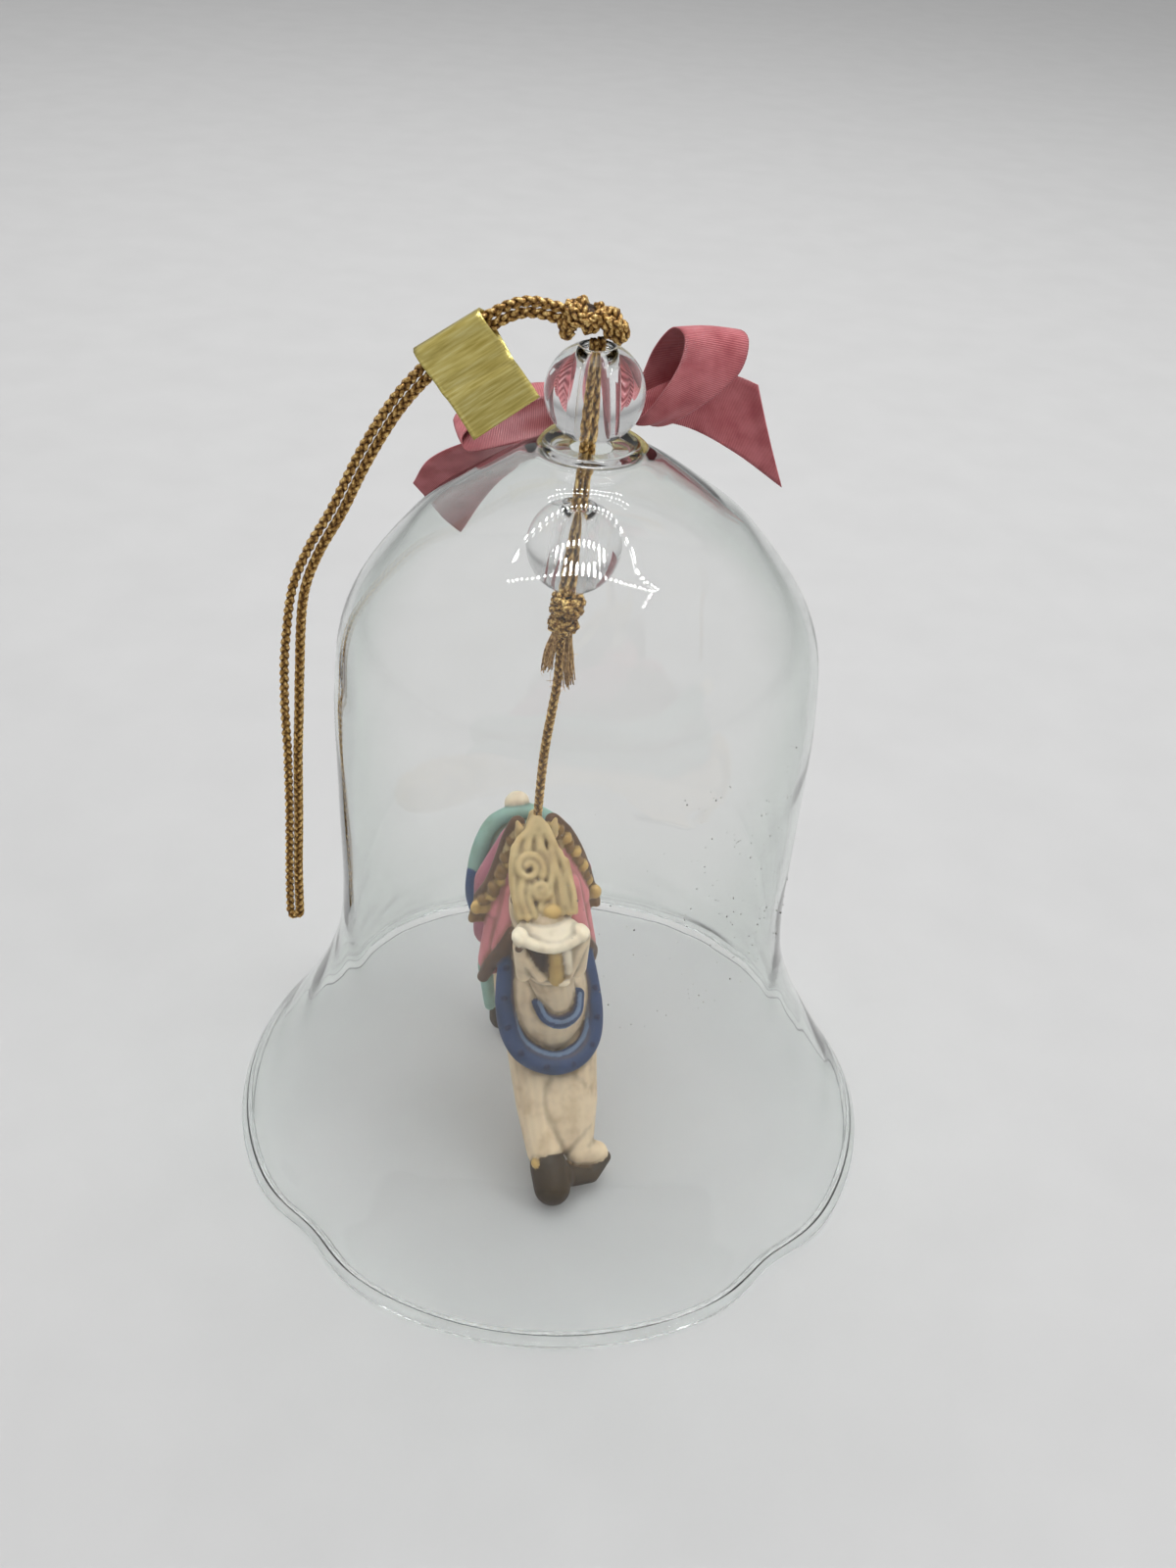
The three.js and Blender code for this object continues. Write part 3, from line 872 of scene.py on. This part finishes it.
def pair_of_ovals(paint, center, radii, tip=0.0):
    """The same oval on both sides of the body, its crosswise place measured from the middle."""
    for side in (-1, 1):
        oval(paint, (BODY_X + side * center[0], *center[1:]), radii, tip)


def strand(paint, points, start_r, end_r, count=14):
    """A chain of short limbs along a smooth line: a strap, a rope or a lock of mane."""
    line = curve_through(np.array(points, float), count)
    radii = np.linspace(start_r, end_r, count)
    for a, b, ra, rb in zip(line, line[1:], radii, radii[1:]):
        limb(paint, a, b, ra, rb)


def horse_body():
    oval("cream", (BODY_X, 7, 24.6), (6.2, 10, 7.8))
    oval("cream", (BODY_X, -3.0, 21.4), (5.7, 7.4, 8.6), -14)
    oval("cream", (BODY_X, 12, 25.6), (6.0, 5.6, 7.8))
    pair_of_ovals("cream", (2.8, 12.4, 21.6), (3.6, 4.6, 6.4))
    limb("cream", (BODY_X, -2.6, 25), (0, -1.4, 38.5), 4.9, 3.0)
    tail = [(1.6, 16.4, 31), (1.2, 18.4, 29), (1.0, 18.6, 24), (1.4, 17.6, 17), (2.2, 17, 11)]
    for sway in (-1.1, 0, 1.1):
        strand("mane", [(x + sway, y - 0.35 * abs(sway), z) for x, y, z in tail], 1.2, 0.9, 12)


def horse_head():
    limb("cream", (-0.1, -0.8, 40.8), (-0.3, -7.4, 36.4), 3.0, 2.9)
    for side in (-1, 1):
        oval("cream", (side * 2.1 - 0.2, -4.6, 36.6), (1.7, 3.4, 3.6))
        oval("brown", (side * 3.6 - 0.2, -5.6, 38.8), (0.4, 0.8, 0.55))
        limb("mane", (side * 1.9 - 0.1, -0.7, 44.4), (side * 2.4 - 0.1, -0.3, 46.2), 0.85, 0.3)
    # The top of the muzzle is a broad ledge, lower in the middle, with a nostril at each corner; its pale
    # paint also stands in for the light on its upward face, a painted highlight.
    oval("pale", (-0.4, -9.8, 36.9), (4.1, 2.7, 1.0), 4)
    oval("pale", (-4.0, -10.9, 37.4), (1.0, 1.4, 0.95))
    oval("pale", (3.5, -10.8, 36.9), (1.0, 1.4, 0.95))
    strand("pale", [(-4.4, -11.2, 37.6), (-2.5, -12.0, 36.8), (-0.4, -12.3, 36.3), (1.8, -12.0, 36.4),
                    (3.9, -11.0, 36.9)], 0.72, 0.72)
    oval("brown", (-4.3, -11.9, 36.3), (0.45, 0.4, 0.4))
    # Its front narrows downwards to the open mouth, left of a gilded bit; inside the mouth is an oval in
    # the darkest colour, painted shade.
    oval("recess_shade", (-0.6, -9.6, 33.4), (3.1, 2.2, 3.0))
    limb("cream", (-4.2, -11.2, 36.4), (-3.2, -10.4, 31.0), 0.75, 0.95)
    limb("cream", (-3.5, -11.0, 34.2), (-1.2, -11.2, 30.9), 0.7, 0.7)
    for top_x, top_r in ((3.5, 0.95), (2.6, 0.95), (1.9, 0.8)):
        limb("cream", (top_x, -11.1, 35.8), (1.7, -11.2, 31.0), top_r, 1.1)
    limb("cream", (3.7, -10.6, 36.0), (3.4, -9.6, 30.6), 1.1, 1.5)
    # A pale strip on the bit's right side: a painted highlight.
    limb("pale", (1.5, -12.0, 35.4), (1.9, -11.9, 32.2), 0.6, 0.6)
    limb("gold", (0.2, -11.9, 35.4), (0.6, -11.9, 30.9), 0.75, 0.95)
    oval("pale", (1.3, -12.4, 30.7), (0.9, 0.6, 0.45))
    limb("cream", (0.3, -8.4, 31.2), (0.4, -6.0, 34), 3.3, 3.0)
    limb("cream", (0.3, -7.3, 31.0), (1.7, -8.2, 24.6), 3.5, 2.3)


def on_mane(across, down, lift=0.0):
    """A point of the sloping front of the mane: across it, down it from the tip, and off it."""
    slope = math.radians(44.5)
    return (across - 0.2, -down * math.cos(slope) - lift * math.sin(slope) + 0.2,
            47.0 - down * math.sin(slope) + lift * math.cos(slope))


def lock(points, start_r, end_r, count=18):
    strand("mane", [on_mane(*p) for p in points], start_r, end_r, count)


def mane_curl(across, down, radius, turns, way):
    """A spiral of hair that winds in to a middle in painted shade."""
    points = []
    for k in range(17):
        s = k / 16
        angle = way * 2 * math.pi * turns * s + 0.6
        r = radius * (1 - 0.75 * s)
        points.append((across + r * math.cos(angle), down + r * math.sin(angle), 0.5 + 0.3 * s))
    lock(points, 0.58, 0.4, 30)
    oval("recess_shade", on_mane(across, down, -0.05), (0.55, 0.5, 0.5))


def horse_mane():
    limb("mane", on_mane(0, 0, -0.6), on_mane(0, 5.4, -2.7), 0.75, 2.9)
    limb("mane", on_mane(0, 5.4, -2.7), on_mane(0, 12.0, -3.0), 2.9, 3.3)
    for side in (-1, 1):
        limb("mane", on_mane(side * 1.7, 6.0, -2.0), on_mane(side * 2.0, 11.6, -2.2), 1.7, 1.8)
    for end, sway in ((-3.0, 0.3), (-2.2, -0.25), (-1.3, 0.25), (-0.4, -0.25), (0.5, 0.25),
                      (1.4, -0.25), (2.3, 0.2)):
        lock([(0, 0.2, 0), (0.35 * end + sway, 1.8, 0.25), (0.8 * end - sway, 3.4, 0.25), (end, 5.4, 0.2)],
             0.5, 0.4)
    mane_curl(-1.7, 6.6, 1.8, 1.5, -1)
    mane_curl(-0.5, 9.3, 1.1, 1.2, 1)
    lock([(-2.9, 4.0, 0), (-3.5, 6.2, 0), (-3.7, 8.8, 0), (-3.4, 12.2, 0)], 0.65, 0.5)
    lock([(-2.7, 8.0, 0.3), (-3.0, 9.8, 0.3), (-2.5, 12.4, 0.2)], 0.55, 0.45)
    lock([(-1.9, 8.8, 0.4), (-2.1, 10.4, 0.4), (-1.5, 12.4, 0.2)], 0.5, 0.4)
    lock([(-0.4, 10.6, 0.4), (-0.7, 11.4, 0.3), (-0.5, 12.6, 0.2)], 0.5, 0.4)
    for across, start, bend in ((0.9, 5.0, 0.25), (1.75, 4.6, -0.25), (2.6, 5.0, 0.2), (3.3, 6.2, -0.12)):
        lock([(across - 0.3, start, 0.2), (across + bend, start + 2.2, 0.5),
              (across - bend, start + 4.2, 0.4), (across + 0.1, 12.3, 0.1)], 0.5, 0.42)
    oval("gold", on_mane(0.5, 12.0, 0.2), (1.2, 1.0, 1.0))
    for side in (-1, 1):
        for drop, back in ((0, 1.0), (3.2, 1.8), (6.4, 2.6)):
            strand("mane", [(side * 1.8, back, 44.0 - drop), (side * 3.0, back, 42.0 - drop),
                            (side * 3.4, back - 0.3, 39.7 - drop), (side * 3.0, back - 0.6, 38.2 - drop),
                            (side * 3.4, back - 0.2, 37.4 - drop)], 0.75, 0.4)


def horse_tack():
    # Pink cape over the shoulders, widening downwards to a brown hem.
    for top, low in [
        ((-1.2, 1.4, 41.0), (-4.0, 0.8, 32.6)), ((-4.0, 0.8, 32.6), (-4.9, 0.2, 24.6)),
        ((-2.2, -0.4, 36.0), (-3.6, -1.6, 28.0)), ((2.4, 1.6, 40.6), (5.8, 1.0, 33.0)),
        ((5.8, 1.0, 33.0), (7.0, 0.4, 25.0)), ((4.2, -0.4, 36.0), (5.6, -1.4, 28.0)),
    ]:
        limb("pink", top, low, 1.7, 1.9)
    limb("pink", (0.8, 2.2, 38), (BODY_X, 2.0, 25), 4.0, 6.6)
    left_hem = [(-2.9, -3.2, 31.4), (-4.3, -2.9, 28.6), (-5.6, -1.8, 25.4), (-6.2, -0.6, 22.6)]
    right_hem = [(5.9, -2.8, 29.6), (7.2, -2.0, 27.0), (8.2, -0.6, 24.8), (8.4, 0.4, 22.6)]
    strand("brown", left_hem, 0.95, 0.8)
    strand("brown", right_hem, 0.75, 0.75)
    # Saddle, its skirts, and the blanket's padded roll behind.
    oval("brown", (BODY_X, 6.0, 35.4), (4.4, 4.2, 4.6), -8)
    for top_x, low_x in ((-1.6, -4.5), (3.6, 7.0)):
        chain("mauve", (top_x, 5.2, 39.2, 2.0), (low_x, 5.4, 33.2, 2.1), (low_x + 0.2, 5.6, 25, 2.2))
    oval("teal", (BODY_X, 10.4, 27.0), (7.0, 5.0, 9.4), -4)
    oval("teal", (1.1, 11.0, 31.0), (6.0, 1.8, 6.8))
    roll = [(-5.0, 9.4, 26.5), (-5.6, 10.0, 31.0), (-4.7, 11.0, 34.6), (-2.9, 12.0, 37.2),
            (-0.5, 12.2, 38.5), (2.0, 12.2, 38.5), (4.4, 12.0, 37.3), (6.4, 11.4, 34.8),
            (7.6, 10.4, 31.4), (7.6, 9.6, 27)]
    strand("teal", roll, 1.15, 1.15, 40)
    strand("navy", [(-5.9, 9.8, 31.4), (-6.1, 9.4, 28.4), (-5.4, 9.0, 25)], 0.95, 0.8, 10)
    strand("navy", [(8.0, 10.0, 31.0), (8.1, 9.6, 28), (7.8, 9.2, 25)], 0.95, 0.8, 10)
    oval("pale", (0.4, 13.4, 39.4), (1.7, 1.3, 1.5))
    # Gilded ropes from the mane down to a tassel on each side.
    for side, rope in (
        (-1, [(-1.7, 1.0, 44.2), (-2.7, 1.0, 42.0), (-3.7, 0.8, 38.9), (-4.9, 0.6, 35.8),
              (-6.2, 1.0, 33.4)]),
        (1, [(2.2, 1.0, 44.2), (4.0, 1.4, 41.8), (5.8, 1.8, 38.4), (7.2, 2.2, 34.8),
             (7.9, 2.4, 32.6)]),
    ):
        strand("brown", [(x + side * 0.3, y + 0.9, z + 0.3) for x, y, z in rope], 1.0, 0.8)
        for k, (x, y, z) in enumerate(curve_through(np.array(rope, float), 15)):
            wobble = 0.35 * math.sin(2.3 * k)
            paint = "gold" if k % 3 == 0 else "rope"
            oval(paint, (x + wobble, y - 0.2, z), (0.85, 0.8, 0.62 + 0.12 * (k % 2)))
        x, y, z = rope[-1]
        for spread in (-1.1, 0, 1.1):
            oval("gold", (x + 0.8 * spread, y - 0.5, z - 0.2), (0.8, 0.7, 1.0))
            end = (x + side * 0.4 + 0.8 * spread, y + 0.2, z - 2.6)
            limb("rope", (x + 0.6 * spread, y, z), end, 0.75, 0.6)
    limb("teal", (-5.2, 3.4, 21), (-4.2, 4.2, 13), 1.0, 0.8)


def horse_straps():
    """A dotted blue breast collar with a lighter edge, and a plain strap above it."""
    collar = [(-3.0, -1.6, 29.0), (-3.9, -4.0, 26.0), (-4.5, -6.6, 22.6), (-4.1, -9.0, 19.4),
              (-2.4, -10.8, 17.4), (0.9, -11.8, 16.2), (4.2, -10.8, 16.0), (6.4, -9.0, 17.4),
              (7.1, -6.6, 20.4), (6.9, -4.0, 23.8), (6.2, -1.6, 27.4)]
    strand("blue", collar, 1.25, 1.25, 56)
    middle = np.array([BODY_X, -4.0, 24.0])
    line = curve_through(np.array(collar, float), 33)
    inward = middle - line
    inward /= np.linalg.norm(inward, axis=1)[:, None]
    toward_front = np.array([0, -0.75, 0.6])
    strand("blue", line + inward * 0.9, 0.9, 0.9, 50)
    strand("sky", line + inward * 1.35 + toward_front * 0.72, 0.28, 0.28, 60)
    for p in line[3:-3:3] + toward_front * 1.12 - inward[3:-3:3] * 0.25:
        oval("dots", p, (0.42, 0.36, 0.42))
    strap = [(-0.8, -8.9, 24.6), (0.0, -10.3, 23.2), (1.9, -10.9, 22.8), (3.8, -10.2, 23.4),
             (4.4, -8.8, 25.2)]
    strand("blue", strap, 0.75, 0.75, 16)
    for lift in (-0.5, 0.5):
        strand("sky", [(x, y - 0.55, z + lift) for x, y, z in strap], 0.22, 0.22, 16)


def horse_legs():
    # The forelegs stand close together, and the right hoof turns out.
    chain("cream", (-0.9, -7.2, 15.6, 3.3), (-1.0, -12.0, 10.0, 2.8), (-0.9, -16.6, 5.9, 2.3))
    chain("cream", (4.4, -7.0, 15.4, 3.3), (4.2, -11.6, 9.4, 2.8), (3.5, -15.6, 5.4, 2.2))
    oval("cream", (1.7, -11.6, 10.6), (5.0, 3.0, 7.6), -44)
    limb("hoof", (-0.7, -18.2, 4.7), (-0.6, -20.3, 3.0), 2.4, 2.35)
    oval("hoof", (0.9, -19.0, 3.4), (1.6, 2.0, 1.9))
    oval("gold", (-2.3, -18.6, 6.0), (0.8, 0.8, 0.6))
    limb("cream", (3.6, -16.4, 4.9), (6.0, -16.4, 3.9), 1.9, 1.6)
    chain("hoof", (2.4, -18.9, 2.9, 1.35), (4.9, -18.6, 2.3, 1.1), (7.1, -16.9, 3.4, 0.85))
    for side, knee_y, heel_y in ((-1, 9.6, 12.8), (1, 12.8, 15.2)):
        x = BODY_X + side * 1.9
        limb("cream", (x, 12, 20), (x, knee_y, 11.4), 3.4, 2.0)
        limb("cream", (x, knee_y, 11.4), (x, heel_y, 5.4), 1.9, 1.5)
        limb("hoof", (x, heel_y + 0.1, 4.4), (x, heel_y - 0.8, 3.0), 1.75, 1.9)


def turned(a, b, angle):
    """Two coordinates turned together in their own plane."""
    cos, sin = math.cos(angle), math.sin(angle)
    return a * cos - b * sin, a * sin + b * cos


def lump_grid(lump):
    kind, _, first, second, last = lump
    if kind == "oval":
        vertices, faces = ellipsoid_grid((0, 0, 0), second, 26, 16)
        vertices[:, 1], vertices[:, 2] = turned(vertices[:, 1], vertices[:, 2], last)
        return vertices + first, faces
    steps = np.linspace(0, 1, 4)[:, None]
    tube = tube_grid(first + (second - first) * steps, np.interp(steps[:, 0], [0, 1], last), 16)
    caps = [ellipsoid_grid(end, (r, r, r), 16, 10) for end, r in zip((first, second), last)]
    return merge([tube, *caps])


def lump_distance(lump, points):
    """How far each point is outside the lump, roughly, in millimetres."""
    kind, _, first, second, last = lump
    offset = points - first
    if kind == "oval":
        offset = np.stack([offset[:, 0], *turned(offset[:, 1], offset[:, 2], -last)], 1)
        size = np.linalg.norm(offset / second, axis=1)
        return (size - 1) * np.linalg.norm(offset, axis=1) / np.maximum(size, 1e-6)
    axis = second - first
    share = np.clip(offset @ axis / (axis @ axis), 0, 1)
    return np.linalg.norm(offset - share[:, None] * axis, axis=1) - (last[0] + (last[1] - last[0]) * share)


def cavity_of(mesh, points):
    """How hollow the surface is at each vertex: positive in creases, negative on ridges."""
    count = len(points)
    edges = np.zeros(len(mesh.edges) * 2, int)
    mesh.edges.foreach_get("vertices", edges)
    a, b = edges.reshape(-1, 2).T
    normals = np.zeros(count * 3)
    mesh.vertices.foreach_get("normal", normals)
    normals = normals.reshape(-1, 3)
    degree = np.bincount(a, minlength=count) + np.bincount(b, minlength=count)

    def spread(values):
        total = np.zeros_like(values)
        np.add.at(total, a, values[b])
        np.add.at(total, b, values[a])
        return total / np.maximum(degree, 1).reshape(-1, *[1] * (values.ndim - 1))

    lift = ((spread(spread(points)) - points) * normals).sum(1)
    for _ in range(3):
        lift = spread(lift)
    return lift


def horse_material():
    material, nodes, links, shader = new_material("painted_resin")
    paint = add_node(nodes, "ShaderNodeAttribute", attribute_name="paint")
    wash = ramp(nodes, links, noise(nodes, links, 380, 4), [
        (0.32, (0.62, 0.5, 0.34)), (0.5, (0.95, 0.9, 0.82)), (0.7, (1.06, 1.04, 1.0)),
    ])
    links.new(multiplied(nodes, links, paint.outputs["Color"], wash, 0.5), shader.inputs["Base Color"])
    set_sockets(shader, {"Roughness": 0.5, "Specular IOR Level": 0.28, "Subsurface Weight": 0.08,
                         "Subsurface Radius": (0.0012, 0.0008, 0.0005)})
    bump(nodes, links, noise(nodes, links, 1500, 3), shader, 0.25, 0.00015)
    return material


HORSE_YAW = math.radians(16)
HORSE_VOXEL = 0.21
ANTIQUE_WASH_AND_SHADE = np.array([0.15, 0.085, 0.025])  # the dark antique wash that stays in creases, which also stands in for the shade there


def horse_skin():
    """One smooth skin over all the lumps, still in millimetres."""
    rough = make_mesh("horse_rough", *merge([lump_grid(lump) for lump in lumps]), horse_material())
    remesh = rough.modifiers.new("skin", "REMESH")
    remesh.mode = "VOXEL"
    remesh.voxel_size = HORSE_VOXEL
    rough.modifiers.new("soften", "SMOOTH").iterations = 2
    data = bpy.data.meshes.new_from_object(rough.evaluated_get(bpy.context.evaluated_depsgraph_get()))
    bpy.data.objects.remove(rough)
    return data


def horse_colors(data, points):
    """Each point wears its nearest lump's paint, with a painted highlight on ridges, and is darker in
    creases by an antique wash and painted shade.
    """
    nearest = np.full(len(points), 1e9)
    colors = np.zeros((len(points), 3))
    for lump in lumps:
        distance = lump_distance(lump, points)
        closer = distance < nearest
        nearest[closer] = distance[closer]
        colors[closer] = PAINTS[lump[1]]
    hollow = cavity_of(data, points)[:, None]
    # Painted highlight on ridges; in creases an antique wash together with painted shade.
    colors *= 1 + 0.3 * np.clip(-hollow / 0.03, 0, 1)
    crease = 0.8 * np.clip((hollow + 0.002) / 0.04, 0, 1) ** 0.7
    return colors * (1 - crease) + ANTIQUE_WASH_AND_SHADE * crease


def make_horse():
    for build in (horse_body, horse_head, horse_mane, horse_tack, horse_straps, horse_legs):
        build()
    data = horse_skin()
    points = np.zeros(len(data.vertices) * 3)
    data.vertices.foreach_get("co", points)
    points = points.reshape(-1, 3)
    colors = horse_colors(data, points)
    layer = data.color_attributes.new("paint", "FLOAT_COLOR", "POINT")
    layer.data.foreach_set("color", np.hstack([colors, np.ones((len(points), 1))]).ravel())
    points[:, 0], points[:, 1] = turned(points[:, 0], points[:, 1], HORSE_YAW)
    points = points * MM + np.array([HORSE_TOP.x, HORSE_TOP.y, 0])
    data.vertices.foreach_set("co", points.ravel())
    data.polygons.foreach_set("use_smooth", [True] * len(data.polygons))
    data.update()
    piece = bpy.data.objects.new("carousel_horse", data)
    bpy.context.collection.objects.link(piece)
    dress(piece, "horse", "painted_resin", "horse_figurine")


make_horse()


# ---- Dust: fine specks stuck to the front right of the glass ----
DUST_SPECKS = 240
DUST_R = 27.4 * MM  # just inside the outer face of the bell's upright wall


def make_dust():
    material = cloudy_material("dust", 900, [(0.3, (0.1, 0.09, 0.08)), (0.7, (0.5, 0.48, 0.45))],
                               {"Roughness": 0.9})
    grids = []
    for _ in range(DUST_SPECKS):
        turn = math.radians(random.gauss(-38, 26))
        height = random.uniform(36, 68) * MM
        size = random.choice((0.05, 0.06, 0.07, 0.11)) * MM
        center = (DUST_R * math.cos(turn), DUST_R * math.sin(turn), height)
        grids.append(ellipsoid_grid(center, (size, size, size * random.uniform(0.6, 1.4)), 6, 4))
    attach(make_mesh("dust_specks", *merge(grids), material), "bell")


make_dust()


# ---- Stage: a flat pale floor, soft light and rows of small lamps ----
def stage_material():
    return cloudy_material("sweep", 60, [(0.3, (0.6, 0.6, 0.6)), (0.7, (0.62, 0.62, 0.62))],
                           {"Roughness": 0.7, "Specular IOR Level": 0.2})


FLOOR_HALF = 6.0


def make_stage():
    """A wide flat floor, so that every view ends in the same plain horizon."""
    corners = [(-1, -1), (1, -1), (1, 1), (-1, 1)]
    vertices = [(x * FLOOR_HALF, y * FLOOR_HALF, -0.02 * MM) for x, y in corners]
    make_mesh("sweep", vertices, [(0, 1, 2, 3)], stage_material())


STRIP_HEIGHT = 0.55
LAMP_SPACING = 0.02
LAMP_R = 0.0048
LAMP_GLOW = 57
# Where each row of lamps starts and ends, seen from above.
LAMP_ROWS = [
    ((-0.28, -0.089), (0.28, -0.089)), ((0.28, -0.089), (0.28, -0.2)),
    ((-0.25, -0.009), (0.12, -0.009)), ((0.12, -0.009), (0.3, -0.07)),
    ((-0.2, 0.07), (0.2, 0.07)), ((-0.16, 0.115), (0.16, 0.115)),
]


def make_lamp_strip(name, start, end):
    """A row of small bright lamps above the bell: seen in reflections, and lighting through glass."""
    material = bpy.data.materials.new(name)
    material.use_nodes = True
    nodes = material.node_tree.nodes
    nodes.remove(nodes["Principled BSDF"])
    glow = nodes.new("ShaderNodeEmission")
    glow.inputs["Strength"].default_value = LAMP_GLOW
    material.node_tree.links.new(glow.outputs["Emission"], nodes["Material Output"].inputs["Surface"])
    count = max(2, round(math.dist(start, end) / LAMP_SPACING))
    spots = np.linspace((*start, STRIP_HEIGHT), (*end, STRIP_HEIGHT), count)
    piece = make_mesh(name, *merge([ellipsoid_grid(p, (LAMP_R,) * 3, 10, 6) for p in spots]), material)
    piece.visible_camera = False
    piece.visible_diffuse = False
    piece.visible_shadow = False


SKY = [(0.0, (0.35, 0.36, 0.37)), (0.45, (0.5, 0.51, 0.52)), (0.54, (0.95, 0.95, 0.95)),
       (1.0, (1.1, 1.1, 1.1))]
# Each soft light's name, place, what it points at, size and power.
SOFTBOXES = [
    ("softbox", (0.0, 0.1, 0.75), (0, 0, 0.05), 0.7, 3.2),
    ("side_softbox", (0.6, -0.2, 0.5), (0, 0, 0.05), 0.4, 0.8),
    ("backdrop_softbox", (0.0, 0.45, 0.6), (0, 0.6, 0.1), 0.5, 0.9),
]


def make_sky():
    """A studio that is bright above the horizon and darker below it."""
    world = bpy.data.worlds.new("studio")
    bpy.context.scene.world = world
    world.use_nodes = True
    nodes, links = world.node_tree.nodes, world.node_tree.links
    direction = nodes.new("ShaderNodeTexCoord")
    parts = nodes.new("ShaderNodeSeparateXYZ")
    links.new(direction.outputs["Generated"], parts.inputs["Vector"])
    level = scale_and_add(nodes, links, parts.outputs["Z"], 0.5, 0.5)
    links.new(ramp(nodes, links, level, SKY), nodes["Background"].inputs["Color"])
    nodes["Background"].inputs["Strength"].default_value = 0.465


def make_softbox(name, place, aim, size, power):
    data = bpy.data.lights.new(name, "AREA")
    data.size = size
    data.energy = power
    lamp = bpy.data.objects.new(name, data)
    bpy.context.collection.objects.link(lamp)
    lamp.location = place
    lamp.rotation_euler = (Vector(aim) - Vector(place)).to_track_quat("-Z", "Y").to_euler()
    lamp.visible_glossy = False
    lamp.visible_transmission = False


def make_lights():
    make_sky()
    for softbox in SOFTBOXES:
        make_softbox(*softbox)
    for number, (start, end) in enumerate(LAMP_ROWS):
        make_lamp_strip(f"lamp_strip_{number}", start, end)


make_stage()
make_lights()
# Light turns many times inside the drilled beads and the collar before it comes out again.
CLEAR_BOUNCES = 64
bpy.context.scene.cycles.max_bounces = CLEAR_BOUNCES
bpy.context.scene.cycles.transmission_bounces = CLEAR_BOUNCES
bpy.context.scene.view_settings.view_transform = "Standard"
